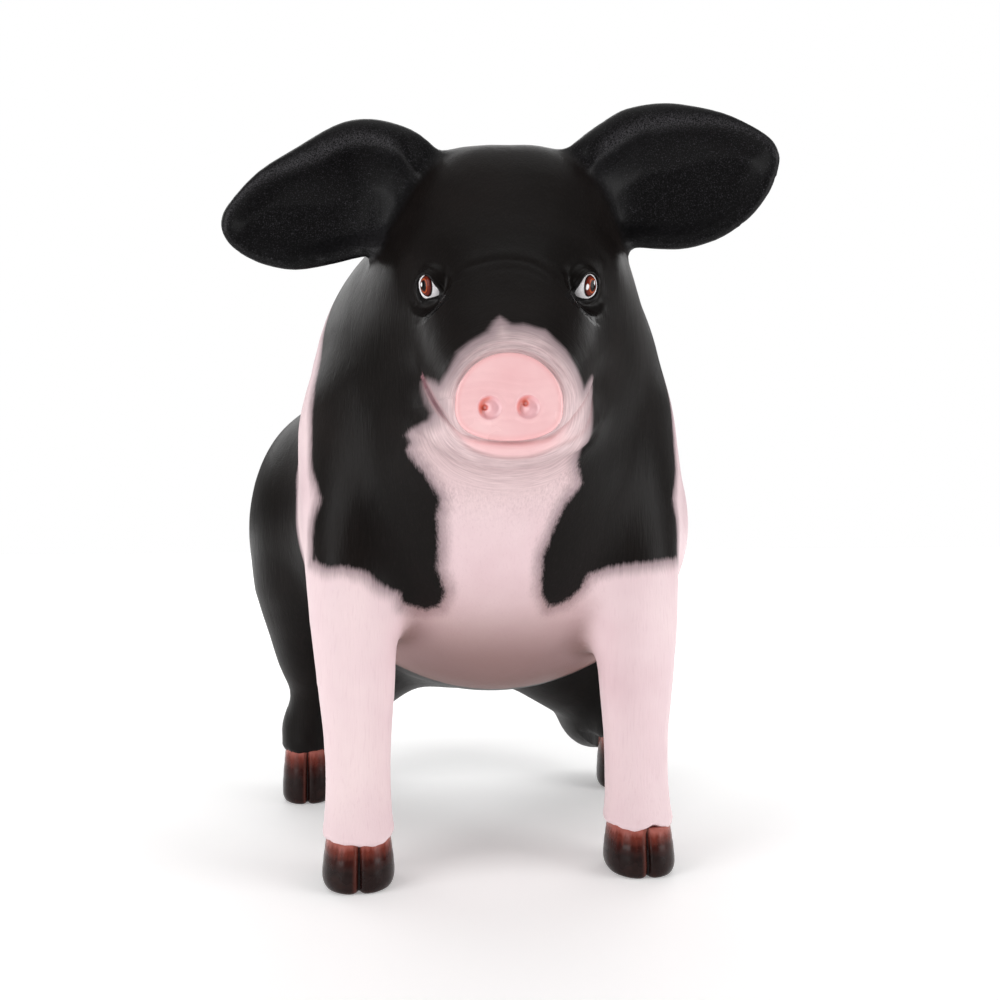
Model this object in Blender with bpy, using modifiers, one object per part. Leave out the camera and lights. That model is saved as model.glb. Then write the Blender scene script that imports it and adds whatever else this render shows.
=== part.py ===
"""Life-size painted statue of a sitting young pig, for Blender 4.5.

Metres, +Z up.  The pig faces -Y and its left side is +X.  The body is one
rounded form, drawn by the functions below, meshed, thinned and then parted
into head, neck, trunk, tail, ears and legs by thin cuts.  Hooves, eyes and
the snout disc are made on their own.
"""
import math

import bmesh
import bpy
import numpy as np
from mathutils import Matrix, Vector

# ---------------------------------------------------------------- sizes
# Working frame: the pig faces -Y, its left is +X, the floor is Z = 0.
HEAD_AT = np.array([0.008, -0.132, 0.550])   # middle of the head
HEAD_TURN = math.radians(8.5)                # head turned to the pig's right
LEFT_OUT = 0.005                             # its left feet stand a little further out
HIND_OUT = 0.010                             # and the left hind foot more so
LEG_X = 0.132                                # forelegs, each side of the middle
HIND_X = 0.186                               # hind feet
EYE_U, EYE_W, EYE_H, EYE_R = 0.0637, 0.0804, -0.0055, 0.0150
DISC_W, DISC_H = 0.186, -0.1127              # snout disc: forward, and height
DISC_RU, DISC_RH = 0.0424, 0.0345
FORE_CORONET, HIND_CORONET = 0.0435, 0.0600

# Head axes in the working frame: sideways (pig's left), forward, up.
HU = np.array([math.cos(HEAD_TURN), -math.sin(HEAD_TURN), 0.0])
HF = np.array([-math.sin(HEAD_TURN), -math.cos(HEAD_TURN), 0.0])
HZ = np.array([0.0, 0.0, 1.0])


def from_head(u, w, h):
    """A point given sideways, forward and up from the head's middle."""
    return HEAD_AT + HU * u + HF * w + HZ * h


def to_head(p):
    d = p - HEAD_AT
    return np.stack([d @ HU, d @ HF, d @ HZ], axis=1)


# ------------------------------------------------------- rounded volumes
def smin(a, b, k):
    """Smaller of two distances, with a fillet of about k."""
    h = np.maximum(k - np.abs(a - b), 0.0) / k
    return np.minimum(a, b) - h * h * k * 0.25


def smax(a, b, k):
    return -smin(-a, -b, k)


def ellipsoid(p, c, r, pitch=0.0, yaw=0.0):
    """First-order distance to an ellipsoid; pitch turns it about X."""
    d = p - np.array(c)
    if pitch:
        s, k = math.sin(pitch), math.cos(pitch)
        d = np.stack([d[:, 0], d[:, 1] * k + d[:, 2] * s, -d[:, 1] * s + d[:, 2] * k], axis=1)
    if yaw:
        s, k = math.sin(yaw), math.cos(yaw)
        d = np.stack([d[:, 0] * k + d[:, 1] * s, -d[:, 0] * s + d[:, 1] * k, d[:, 2]], axis=1)
    r = np.array(r)
    q = np.sqrt(((d / r) ** 2).sum(1))
    g = np.sqrt(((d / (r * r)) ** 2).sum(1))
    return q * (q - 1.0) / np.maximum(g, 1e-6)


def spline(rows, steps):
    """Smooth rows between the named stations (Catmull-Rom)."""
    r = np.array(rows, float)
    e = np.vstack([2 * r[0] - r[1], r, 2 * r[-1] - r[-2]])
    out = []
    for i in range(1, len(e) - 2):
        for j in range(steps):
            t = j / steps
            out.append(0.5 * (2 * e[i] + (e[i + 1] - e[i - 1]) * t
                              + (2 * e[i - 1] - 5 * e[i] + 4 * e[i + 1] - e[i + 2]) * t * t
                              + (-e[i - 1] + 3 * e[i] - 3 * e[i + 1] + e[i + 2]) * t ** 3))
    out.append(r[-1])
    return np.array(out)


def limb(p, rows, side=(1.0, 0.0, 0.0), steps=4, power=2.0):
    """Distance to a limb of oval sections: x, y, z, half width, half depth."""
    r = spline(rows, steps)
    side = np.array(side, float)
    best = None
    for a, b in zip(r[:-1], r[1:]):
        w = b[:3] - a[:3]
        length = np.linalg.norm(w)
        w = w / length
        u = side - w * (side @ w)
        u = u / np.linalg.norm(u)
        v = np.cross(w, u)
        d = p - a[:3]
        s = d @ w
        t = np.clip(s / length, 0.0, 1.0)
        du, dv, dw = d @ u, d @ v, s - t * length
        ru = a[3] + (b[3] - a[3]) * t
        rv = a[4] + (b[4] - a[4]) * t
        rm = np.sqrt(ru * rv)
        if power == 2.0:
            q = np.sqrt((du / ru) ** 2 + (dv / rv) ** 2 + (dw / rm) ** 2)
        else:
            q = ((np.abs(du) / ru) ** power + (np.abs(dv) / rv) ** power
                 + (np.abs(dw) / rm) ** power) ** (1.0 / power)
        g = np.sqrt((du / ru ** 2) ** 2 + (dv / rv ** 2) ** 2 + (dw / rm ** 2) ** 2)
        q2 = np.sqrt((du / ru) ** 2 + (dv / rv) ** 2 + (dw / rm) ** 2)
        f = q2 * (q - 1.0) / np.maximum(g, 1e-6)
        best = f if best is None else np.minimum(best, f)
    return best


# -------------------------------------------------------------- the ears
# Each ear: where its root's middle is on the head, how far its tip is
# raised, and its outline from the front edge of the root, over the top, to
# the tip and back along the lower edge (out along the ear, across it).
EARS = {
    "right": dict(sign=-1.0, root=(-0.0885, -0.006, 0.0912), lift=-6.0, sweep=6.0, tip=8,
                  edge=[(-0.030, 0.040), (-0.012, 0.064), (0.014, 0.079), (0.041, 0.086),
                        (0.069, 0.083), (0.107, 0.0665), (0.147, 0.0465), (0.180, 0.0165),
                        (0.1875, -0.001), (0.182, -0.018), (0.168, -0.032), (0.148, -0.043),
                        (0.122, -0.050), (0.092, -0.049), (0.058, -0.045), (0.024, -0.044),
                        (-0.010, -0.040), (-0.035, -0.010), (-0.038, 0.015)]),
    "left": dict(sign=1.0, root=(0.0855, -0.006, 0.0922), lift=15.0, sweep=6.0, tip=10,
                 edge=[(-0.020, 0.050), (-0.003, 0.061), (0.020, 0.0706), (0.0436, 0.078),
                       (0.0634, 0.0786), (0.0863, 0.0754), (0.1087, 0.0674), (0.1374, 0.0529),
                       (0.1618, 0.0335), (0.1769, 0.0167), (0.1811, 0.0027), (0.179, -0.0086),
                       (0.1695, -0.0257), (0.151, -0.0434), (0.130, -0.0555), (0.1033, -0.0632),
                       (0.0735, -0.064), (0.0503, -0.0588), (0.0285, -0.052), (0.0142, -0.050),
                       (-0.012, -0.044), (-0.035, -0.012), (-0.036, 0.020)]),
}
EAR_HALF = 0.0058        # half the ear's thickness
EAR_DISH = 0.0235         # how deep the ear is dished
EAR_ROLL = 0.0095        # how far its rolled upper rim stands forward


def ear_axes(ear):
    """Origin and axes of an ear: along it to the tip, across it, forward."""
    lift, sweep = math.radians(ear["lift"]), math.radians(ear["sweep"])
    side = HU * ear["sign"]
    along = side * math.cos(lift) * math.cos(sweep) + HZ * math.sin(lift) - HF * math.cos(lift) * math.sin(sweep)
    fore = HF * math.cos(sweep) + side * math.sin(sweep)
    across = np.cross(fore, along) * -ear["sign"]
    if across[2] < 0:
        across = -across
    return from_head(*ear["root"]), along, across, fore


def loop(points, steps):
    """A closed smooth loop through the outline's points."""
    q = np.array(points, float)
    n = len(q)
    out = []
    for i in range(n):
        a, b, c, d = q[i - 1], q[i], q[(i + 1) % n], q[(i + 2) % n]
        for j in range(steps):
            t = j / steps
            out.append(0.5 * (2 * b + (c - a) * t + (2 * a - 5 * b + 4 * c - d) * t * t
                              + (-a + 3 * b - 3 * c + d) * t ** 3))
    return np.array(out)


def outline_distance(a, b, edge):
    """Signed distance in the ear's plane to its outline, negative inside."""
    best = np.full(len(a), 1e9)
    inside = np.zeros(len(a), bool)
    for (x0, y0), (x1, y1) in zip(edge, np.roll(edge, -1, axis=0)):
        ex, ey = x1 - x0, y1 - y0
        wx, wy = a - x0, b - y0
        t = np.clip((wx * ex + wy * ey) / (ex * ex + ey * ey), 0.0, 1.0)
        best = np.minimum(best, (wx - ex * t) ** 2 + (wy - ey * t) ** 2)
        cross = ((y0 > b) != (y1 > b))
        with np.errstate(divide="ignore", invalid="ignore"):
            xi = x0 + (b - y0) * ex / (ey if abs(ey) > 1e-12 else 1e-12)
        inside ^= cross & (a < xi)
    best = np.sqrt(best)
    return np.where(inside, -best, best)


def ear_top(a, b, ear):
    """Distance in the ear's plane to its upper edge."""
    top = spline(np.array(ear["edge"])[0:ear["tip"] + 1], 3)
    best = np.full(len(a), 1e9)
    for (x0, y0), (x1, y1) in zip(top[:-1], top[1:]):
        ex, ey = x1 - x0, y1 - y0
        wx, wy = a - x0, b - y0
        t = np.clip((wx * ex + wy * ey) / (ex * ex + ey * ey), 0.0, 1.0)
        best = np.minimum(best, (wx - ex * t) ** 2 + (wy - ey * t) ** 2)
    return np.sqrt(best)


def ear_band(a):
    """Width of the broad rolled upper rim, narrowing to the tip."""
    t = np.clip((a - 0.060) / 0.120, 0.0, 1.0)
    return 0.047 - 0.031 * t * t * (3 - 2 * t)


def ear_mid(a, b, ear, d2=None, top=None):
    """How far forward the ear's middle surface lies: a broad rolled upper
    rim, and below it a dish that runs out smooth to the lower edge."""
    if d2 is None:
        d2, top = outline_distance(a, b, loop(ear["edge"], 3)), ear_top(a, b, ear)
    s = top / ear_band(a)
    size = (ear_band(a) / 0.047) ** 0.9
    out = np.clip(a / 0.18, 0.0, 1.0)
    t = np.clip((a + 0.020) / 0.024, 0.0, 1.0)
    u = np.clip((ear["edge"][ear["tip"]][0] + 0.006 - a) / 0.045, 0.0, 1.0)
    x = np.clip(1.0 - ((s - 0.54) / np.where(s < 0.54, 0.58, 0.80)) ** 2, 0.0, 1.0)
    ridge = x * x * (3 - 2 * x) * size * t * t * (3 - 2 * t) * u * u * (3 - 2 * u)
    x = np.maximum(s - 0.58, 0.0)
    y = np.clip((top - 1.1 * ear_band(a)) / 0.110, 0.0, 1.0)
    z = np.clip((-0.001 - d2) / 0.030, 0.0, 1.0)
    dish = (1.0 - np.exp(-(x / 0.28) ** 1.5)) * (1.0 - 0.5 * y * y * (3 - 2 * y)) * size * z * z * (3 - 2 * z)
    return 0.0015 + EAR_ROLL * ridge - EAR_DISH * dish + 0.012 * out ** 2


def ear_volume(p, ear):
    o, along, across, fore = ear_axes(ear)
    d = p - o
    a, b, n = d @ along, d @ across, d @ fore
    out = np.sqrt((a - 0.075) ** 2 + (b - 0.012) ** 2 + n ** 2) - 0.13
    near = out < 0.03
    if not near.any():
        return out
    a, b, n = a[near], b[near], n[near]
    d2 = outline_distance(a, b, loop(ear["edge"], 3))
    top = ear_top(a, b, ear)
    mid = ear_mid(a, b, ear, d2, top)
    half = EAR_HALF * (1.0 + 0.40 * np.exp(-((top / ear_band(a) - 0.45) / 0.42) ** 2))
    f = np.sqrt(np.maximum(d2 + half, 0.0) ** 2 + (0.82 * (n - mid)) ** 2) - half
    # fleshy root
    root = limb(np.stack([a, b, n], axis=1),
                [(-0.040, 0.000, -0.020, 0.028, 0.050), (-0.005, 0.005, -0.020, 0.017, 0.047),
                 (0.030, 0.008, -0.026, 0.006, 0.034)], side=(0.0, 0.0, 1.0), steps=3)
    f = smin(f, root, 0.018)
    res = out.copy()
    res[near] = f
    return res


# -------------------------------------------------------------- the masses
TRUNK = [(0.007, 0.015, 0.440, 0.173, 0.200), (0.014, 0.075, 0.400, 0.191, 0.224),
         (0.008, 0.145, 0.345, 0.205, 0.198), (0.000, 0.200, 0.290, 0.186, 0.158),
         (0.000, 0.225, 0.262, 0.150, 0.128)]
NECK = [(0.006, -0.115, 0.535, 0.105, 0.110), (0.006, -0.055, 0.515, 0.135, 0.140),
        (0.006, 0.010, 0.480, 0.158, 0.175)]
FORELEG = [(0.128, -0.030, 0.420, 0.058, 0.085), (0.136, -0.070, 0.335, 0.050, 0.064),
           (0.137, -0.098, 0.260, 0.0430, 0.048), (0.1345, -0.112, 0.190, 0.0370, 0.039),
           (0.1330, -0.117, 0.130, 0.0315, 0.033), (0.1325, -0.121, 0.085, 0.0305, 0.033),
           (0.1325, -0.126, 0.052, 0.0322, 0.036), (0.1325, -0.127, 0.036, 0.0325, 0.036)]
CALF = [(0.190, 0.150, 0.250, 0.052, 0.085), (0.187, 0.152, 0.190, 0.041, 0.062),
        (0.183, 0.155, 0.140, 0.0275, 0.038), (0.185, 0.157, 0.108, 0.0255, 0.031),
        (0.188, 0.160, 0.078, 0.0272, 0.031), (0.188, 0.160, 0.050, 0.0280, 0.032)]
SHANK = [(0.187, 0.172, 0.085, 0.028, 0.027), (0.176, 0.215, 0.068, 0.031, 0.030),
         (0.164, 0.252, 0.068, 0.033, 0.034), (0.150, 0.256, 0.122, 0.040, 0.044)]
TAIL = [(0.000, 0.320, 0.352, 0.0200, 0.0200), (0.002, 0.348, 0.346, 0.0150, 0.0150),
        (0.008, 0.368, 0.330, 0.0115, 0.0115), (0.017, 0.379, 0.306, 0.0095, 0.0095),
        (0.018, 0.384, 0.280, 0.0085, 0.0085), (0.004, 0.387, 0.262, 0.0078, 0.0078),
        (-0.014, 0.385, 0.266, 0.0070, 0.0070), (-0.021, 0.381, 0.284, 0.0058, 0.0058)]


BARREL = ((0.012, 0.010, 0.415), (0.179, 0.160, 0.244))
BELLY = ((0.024, 0.045, 0.322), (0.213, 0.165, 0.162))
BRISKET = ((0.004, -0.075, 0.385), (0.115, 0.085, 0.150))
THROAT = ((0.002, -0.118, 0.402), (0.098, 0.080, 0.070))
HAUNCH = ((0.160, 0.165, 0.322), (0.097, 0.125, 0.148))
HAM = ((0.126, 0.222, 0.187), (0.076, 0.098, 0.092))
HOCK = [(0.104, 0.205, 0.196, 0.064, 0.070), (0.132, 0.206, 0.152, 0.058, 0.066), (0.164, 0.222, 0.092, 0.040, 0.042)]
# the head, in its own axes: sideways, forward, up
CROWN = ((0.034, -0.038, 0.050), (0.072, 0.100, 0.098))
CHEEK = ((0.050, -0.034, -0.042), (0.074, 0.106, 0.106))
BROW = ((0.062, 0.036, 0.020), (0.032, 0.036, 0.024))
EYE_AXIS = (0.495, 0.858, -0.139)            # where the lid opening faces, from the eyeball's middle
LID = -0.0035                                # how far over the eyeball the head's surface lies there
FACE = [(0.0, -0.010, 0.010, 0.094, 0.080), (0.0, 0.045, -0.024, 0.084, 0.072),
        (0.0, 0.090, -0.066, 0.078, 0.062), (0.0, 0.135, -0.098, 0.0620, 0.047),
        (0.0, 0.175, -0.116, 0.0445, 0.0365)]
JAW = [(0.0, -0.040, -0.085, 0.095, 0.064), (0.0, 0.040, -0.108, 0.088, 0.052),
       (0.0, 0.095, -0.126, 0.076, 0.038), (0.0, 0.142, -0.144, 0.050, 0.021)]


def disc_edge(a):
    """The snout disc's outline: round above, wider and flatter below."""
    c, s = math.cos(a), math.sin(a)
    u = math.copysign(abs(c) ** 0.92, c) * DISC_RU * (1.0 - 0.13 * s)
    h = math.copysign(abs(s) ** (0.72 if s < 0 else 1.0), s) * DISC_RH
    return u * 0.985, h


def body_volume(p):
    """Trunk, neck, legs and tail."""
    m = np.stack([np.abs(p[:, 0]), p[:, 1], p[:, 2]], axis=1)
    f = limb(p, TRUNK, power=2.2)
    f = smin(f, ellipsoid(p, *BARREL), 0.05)
    f = smin(f, ellipsoid(p, *BELLY), 0.05)
    f = smin(f, ellipsoid(p, *BRISKET), 0.06)
    f = smin(f, limb(p, NECK), 0.06)
    f = smin(f, ellipsoid(m, *HAUNCH, pitch=0.25), 0.030)
    f = smin(f, ellipsoid(m, *HAM), 0.040)
    k = np.stack([np.abs(p[:, 0]) - np.where(p[:, 0] > 0, HIND_OUT, 0.0), p[:, 1], p[:, 2]], axis=1)
    hock = smin(smin(limb(k, CALF), limb(k, SHANK), 0.020), limb(k, HOCK), 0.030)
    f = smin(f, hock, 0.025)
    f = smin(f, ellipsoid(p, *THROAT), 0.040)
    k = np.stack([np.abs(p[:, 0]) - np.where(p[:, 0] > 0, LEFT_OUT, 0.0), p[:, 1], p[:, 2]], axis=1)
    f = smin(f, limb(k, FORELEG), 0.035)
    return smin(f, limb(p, TAIL[:2], steps=2), 0.020)


def head_volume(q):
    """The head in its own axes, without the ears."""
    m = np.stack([np.abs(q[:, 0]), q[:, 1], q[:, 2]], axis=1)
    f = ellipsoid(m, *CROWN)
    f = smin(f, ellipsoid(q, (0.0, CROWN[0][1], CROWN[0][2] + 0.002), (0.080, 0.100, 0.099)), 0.020)
    f = smin(f, ellipsoid(m, *CHEEK), 0.045)
    f = smin(f, limb(q, FACE), 0.035)
    f = smin(f, limb(q, JAW), 0.020)
    f = smin(f, ellipsoid(m, *BROW, pitch=-0.5), 0.022)
    # the face runs smoothly onto each eyeball
    e = m - np.array([EYE_U, EYE_W, EYE_H])
    fore = e @ np.array(EYE_AXIS)
    r = np.sqrt((e * e).sum(1))
    off = np.sqrt(np.maximum(r * r - fore * fore, 0.0))
    x = np.clip((0.0280 - off) / 0.0145, 0.0, 1.0)
    y = np.clip((fore + 0.004) / 0.010, 0.0, 1.0)
    w = x * x * (3 - 2 * x) * y * y * (3 - 2 * y)
    f = f * (1.0 - w) + (r - EYE_R - LID) * w
    # the muzzle ends in a flat face for the snout disc
    return smax(f, q[:, 1] - (DISC_W - 0.010), 0.010)


def pig_volume(p, ears=1.0):
    """Everything of flesh; ears is how far out along each ear it goes."""
    f = smin(body_volume(p), head_volume(to_head(p)), 0.030)
    for ear in EARS.values():
        e = ear_volume(p, ear)
        if ears < 1.0:
            o, along, across, fore = ear_axes(ear)
            e = smax(e, (p - o) @ along - ears, 0.004)
        f = smin(f, e, 0.012)
    return f


# ------------------------------------------------------------- build sizes
VOXEL = 0.0060           # mesh step of the body before it is thinned
BODY_TRIS = 3550         # triangles kept on the body, on each ear and on the tail
EAR_TRIS = 520
TAIL_TRIS = 150
EAR_CUT = 0.004          # where the ear meets the head, out from its root
GAP = 0.0003             # cut between two neighbouring pieces
HOOF_FORE = dict(at=(LEG_X + 0.0005, -0.1290), half=0.0335, front=0.0380, back=0.0355, high=FORE_CORONET, top=0.0338)
HOOF_HIND = dict(at=(HIND_X + 0.0020, 0.1600), half=0.0298, front=0.0335, back=0.0325, high=HIND_CORONET, top=0.0296)


# --------------------------------------------------------------- materials
def paint(name, rgb, rough):
    m = bpy.data.materials.new(name)
    m.use_nodes = True
    b = m.node_tree.nodes["Principled BSDF"]
    b.inputs["Base Color"].default_value = (*rgb, 1.0)
    b.inputs["Roughness"].default_value = rough
    b.inputs["Metallic"].default_value = 0.0
    m.diffuse_color = (*rgb, 1.0)
    return m


BLACK = (0.014, 0.012, 0.012)
PINK = (0.80, 0.60, 0.62)
SNOUT = (0.93, 0.52, 0.54)
HOOF = (0.055, 0.017, 0.013)
EYE = (0.70, 0.62, 0.58)


# -------------------------------------------------------------- mesh tools
def clear():
    for ob in list(bpy.data.objects):
        bpy.data.objects.remove(ob, do_unlink=True)


def collection(name):
    c = bpy.data.collections.new(name)
    bpy.context.scene.collection.children.link(c)
    return c


def add(name, bm, where):
    me = bpy.data.meshes.new(name)
    bm.normal_update()
    if bm.calc_volume(signed=True) < 0:
        bmesh.ops.reverse_faces(bm, faces=bm.faces)
    bm.to_mesh(me)
    bm.free()
    ob = bpy.data.objects.new(name, me)
    where.objects.link(ob)
    return ob


def applied(ob):
    """The object's mesh with its modifiers applied, as its own mesh."""
    dg = bpy.context.evaluated_depsgraph_get()
    me = bpy.data.meshes.new_from_object(ob.evaluated_get(dg))
    ob.modifiers.clear()
    old = ob.data
    ob.data = me
    bpy.data.meshes.remove(old)
    return ob


def oval(bm, centre, radii, axes=((1, 0, 0), (0, 1, 0), (0, 0, 1)), detail=2):
    m = Matrix.Identity(4)
    for j in range(3):
        for i in range(3):
            m[i][j] = float(axes[j][i]) * radii[j]
    m.translation = Vector(centre)
    bmesh.ops.create_icosphere(bm, subdivisions=detail, radius=1.0, matrix=m)


def strand(bm, rows, mirror=False, head=False):
    """Overlapping ovals along a limb, as stock for the remesh."""
    r = spline(rows, 4)
    side = np.array([1.0, 0.0, 0.0])
    for i, a in enumerate(r):
        w = r[min(i + 1, len(r) - 1)][:3] - r[max(i - 1, 0)][:3]
        w /= np.linalg.norm(w)
        u = side - w * (side @ w)
        u /= np.linalg.norm(u)
        v = np.cross(w, u)
        for s in ((1, -1) if mirror else (1,)):
            flip = np.array([s, 1, 1])
            c, axes = a[:3] * flip, [u * flip, v * flip, w * flip]
            if head:
                c = from_head(*c)
                axes = [HU * x[0] + HF * x[1] + HZ * x[2] for x in axes]
            oval(bm, c, (a[3], a[4], math.sqrt(a[3] * a[4])), axes)


def stock():
    """Every mass of the body as overlapping ovals."""
    bm = bmesh.new()
    for rows in (TRUNK, NECK):
        strand(bm, rows)
    for rows in (FORELEG, CALF, SHANK, HOCK):
        strand(bm, rows, mirror=True)
    for c, r in (BARREL, BELLY, BRISKET, THROAT):
        oval(bm, c, r)
    for s in (1, -1):
        for c, r in (HAUNCH, HAM):
            oval(bm, (c[0] * s, c[1], c[2]), r)
        for c, r in (CROWN, CHEEK, BROW):
            oval(bm, from_head(c[0] * s, c[1], c[2]), r, (HU, HF, HZ))
    for rows in (FACE, JAW):
        strand(bm, rows[:-1], head=True)
    for ear in EARS.values():
        o, along, across, fore = ear_axes(ear)
        oval(bm, o - fore * 0.018, (0.030, 0.030, 0.030))
        lay_ear(bm, ear, 0.018)
    return bm


def lay_ear(bm, ear, reach):
    """Small balls laid over the ear's dished middle surface."""
    o, along, across, fore = ear_axes(ear)
    edge = loop(ear["edge"], 3)
    step = 0.008
    a, b = np.meshgrid(np.arange(-0.04, 0.20, step), np.arange(-0.08, 0.10, step))
    a, b = a.ravel(), b.ravel()
    d2 = outline_distance(a, b, edge)
    mid = ear_mid(a, b, ear)
    for i in np.where((d2 < -0.004) & (a < reach))[0]:
        oval(bm, o + along * a[i] + across * b[i] + fore * mid[i], (step,) * 3, detail=1)
    return bm


def trim(ob, point, normal):
    """Cut off what lies beyond a plane, and close the cut."""
    bm = bmesh.new()
    bm.from_mesh(ob.data)
    bmesh.ops.bisect_plane(bm, geom=bm.verts[:] + bm.edges[:] + bm.faces[:], dist=1e-6, plane_co=Vector(point),
                           plane_no=Vector(normal), clear_outer=True)
    open_edges = [e for e in bm.edges if e.is_boundary]
    bmesh.ops.holes_fill(bm, edges=open_edges, sides=0)
    bmesh.ops.recalc_face_normals(bm, faces=bm.faces)
    bm.to_mesh(ob.data)
    bm.free()


def remesh(ob, step):
    m = ob.modifiers.new("Remesh", "REMESH")
    m.mode = "VOXEL"
    m.voxel_size = step
    m.adaptivity = 0.0
    return applied(ob)


def settle(ob, volume, rounds):
    """Move every point of the mesh onto the volume's surface."""
    me = ob.data
    n = len(me.vertices)
    co = np.empty(n * 3)
    me.vertices.foreach_get("co", co)
    co = co.reshape(-1, 3)
    nn = np.empty(n * 3)
    for i in range(rounds):
        f = volume(co)
        if i < 2:
            me.vertices.foreach_set("co", co.ravel())
            me.update()
            me.vertex_normals.foreach_get("vector", nn)
            co = co - nn.reshape(-1, 3) * np.clip(f, -0.01, 0.01)[:, None]
        else:
            e = 1e-4
            g = np.stack([(volume(co + np.eye(3)[k] * e) - f) / e for k in range(3)], axis=1)
            co = co - g * np.clip(f / np.maximum((g * g).sum(1), 0.25), -0.01, 0.01)[:, None]
    me.vertices.foreach_set("co", co.ravel())
    me.update()


def smooth_mesh(ob, factor, rounds):
    m = ob.modifiers.new("Smooth", "SMOOTH")
    m.factor = factor
    m.iterations = rounds
    return applied(ob)


def thin(ob, triangles):
    now = sum(len(p.vertices) - 2 for p in ob.data.polygons)
    m = ob.modifiers.new("Decimate", "DECIMATE")
    m.decimate_type = "COLLAPSE"
    m.ratio = min(1.0, triangles / now)
    m.use_collapse_triangulate = True
    return applied(ob)


def grown(cutter, by, where):
    """A copy of a cutter with its surface moved outward."""
    ob = bpy.data.objects.new(cutter.name + "_wide", cutter.data.copy())
    where.objects.link(ob)
    me = ob.data
    n = len(me.vertices)
    co, nn = np.empty(n * 3), np.empty(n * 3)
    me.vertices.foreach_get("co", co)
    me.vertex_normals.foreach_get("vector", nn)
    me.vertices.foreach_set("co", co + nn * by)
    me.update()
    return hide(ob)


def cut(ob, cutter, how):
    m = ob.modifiers.new(how.title(), "BOOLEAN")
    m.operation = how
    m.solver = "EXACT"
    m.object = cutter
    return applied(ob)


def part_off(body, cutter, name, parts, cutters):
    """Part a piece from the body along the cutter, with a thin gap."""
    piece = bpy.data.objects.new(name, body.data.copy())
    parts.objects.link(piece)
    wide = grown(cutter, GAP, cutters)
    cut(piece, cutter, "INTERSECT")
    cut(body, wide, "DIFFERENCE")
    return piece


def hide(ob):
    ob.hide_render = True
    ob.display_type = "WIRE"
    return ob


def prism(name, profile, half, where, head=False, x0=0.0):
    """A block cutter: a profile in the forward/up plane, drawn out sideways."""
    bm = bmesh.new()
    lo = [bm.verts.new((x0 - half, y, z)) for y, z in profile]
    face = bm.faces.new(lo)
    ext = bmesh.ops.extrude_face_region(bm, geom=[face])
    bmesh.ops.translate(bm, vec=(2 * half, 0, 0), verts=[v for v in ext["geom"] if isinstance(v, bmesh.types.BMVert)])
    if head:
        for v in bm.verts:
            v.co = Vector(HEAD_AT * np.array([1, 1, 0]) + HU * v.co.x + HF * v.co.y + HZ * v.co.z)
    bmesh.ops.recalc_face_normals(bm, faces=bm.faces)
    return hide(add(name, bm, where))


def box(name, lo, hi, where):
    bm = bmesh.new()
    bmesh.ops.create_cube(bm, size=1.0)
    for v in bm.verts:
        v.co = Vector([lo[i] + (v.co[i] + 0.5) * (hi[i] - lo[i]) for i in range(3)])
    return hide(add(name, bm, where))


def tidy(ob):
    bm = bmesh.new()
    bm.from_mesh(ob.data)
    bmesh.ops.dissolve_degenerate(bm, dist=0.00004, edges=bm.edges)
    bmesh.ops.triangulate(bm, faces=bm.faces)
    bm.to_mesh(ob.data)
    bm.free()
    for p in ob.data.polygons:
        p.use_smooth = True


# ------------------------------------------------------------------- feet
def foot_out(spec, s):
    """How much further out a left foot stands."""
    return (HIND_OUT if spec is HOOF_HIND else LEFT_OUT) if s > 0 else 0.0


def hoof(name, spec, s, where):
    """A cloven hoof: ovals stacked from the flat sole to the coronet."""
    bm = bmesh.new()
    n = 28
    levels = [(0.0, 0.965), (0.0025, 1.0), (spec["high"] * 0.85, 0.985), (spec["high"], 0.955)]
    rings = []
    x0, y0 = spec["at"]
    x0 += foot_out(spec, s)
    for z, grow in levels:
        t = z / spec["high"]
        half = (spec["half"] + (spec["top"] - spec["half"]) * t) * grow
        ring = bmesh.ops.create_circle(bm, cap_ends=False, segments=n, radius=1.0)["verts"]
        for k, v in enumerate(ring):
            a = 2 * math.pi * k / n
            cx, cy = math.cos(a), math.sin(a)
            ex = math.copysign(abs(cx) ** 0.86, cx)
            ey = math.copysign(abs(cy) ** 0.86, cy)
            reach = spec["front"] if cy < 0 else spec["back"]
            front = math.exp(-((a - 1.5 * math.pi) / 0.16) ** 2)
            rear = math.exp(-((a - 0.5 * math.pi) / 0.16) ** 2)
            notch = 1.0 - 0.20 * front - 0.14 * rear
            lean = 0.0015 * t
            v.co = Vector((s * x0 + ex * half, y0 + ey * reach * grow * notch + lean, z))
        rings.append(ring)
    bm.edges.ensure_lookup_table()
    loops = []
    for ring in rings:
        inside = set(ring)
        loops.append([e for e in bm.edges if e.verts[0] in inside and e.verts[1] in inside])
    for lo, hi in zip(loops[:-1], loops[1:]):
        bmesh.ops.bridge_loops(bm, edges=lo + hi)
    bmesh.ops.holes_fill(bm, edges=loops[0] + loops[-1], sides=0)
    bmesh.ops.recalc_face_normals(bm, faces=bm.faces)
    bmesh.ops.triangulate(bm, faces=bm.faces)
    ob = add(name, bm, where)
    ob.data.materials.append(paint(name + "_paint", HOOF, 0.25))
    return ob


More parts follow.
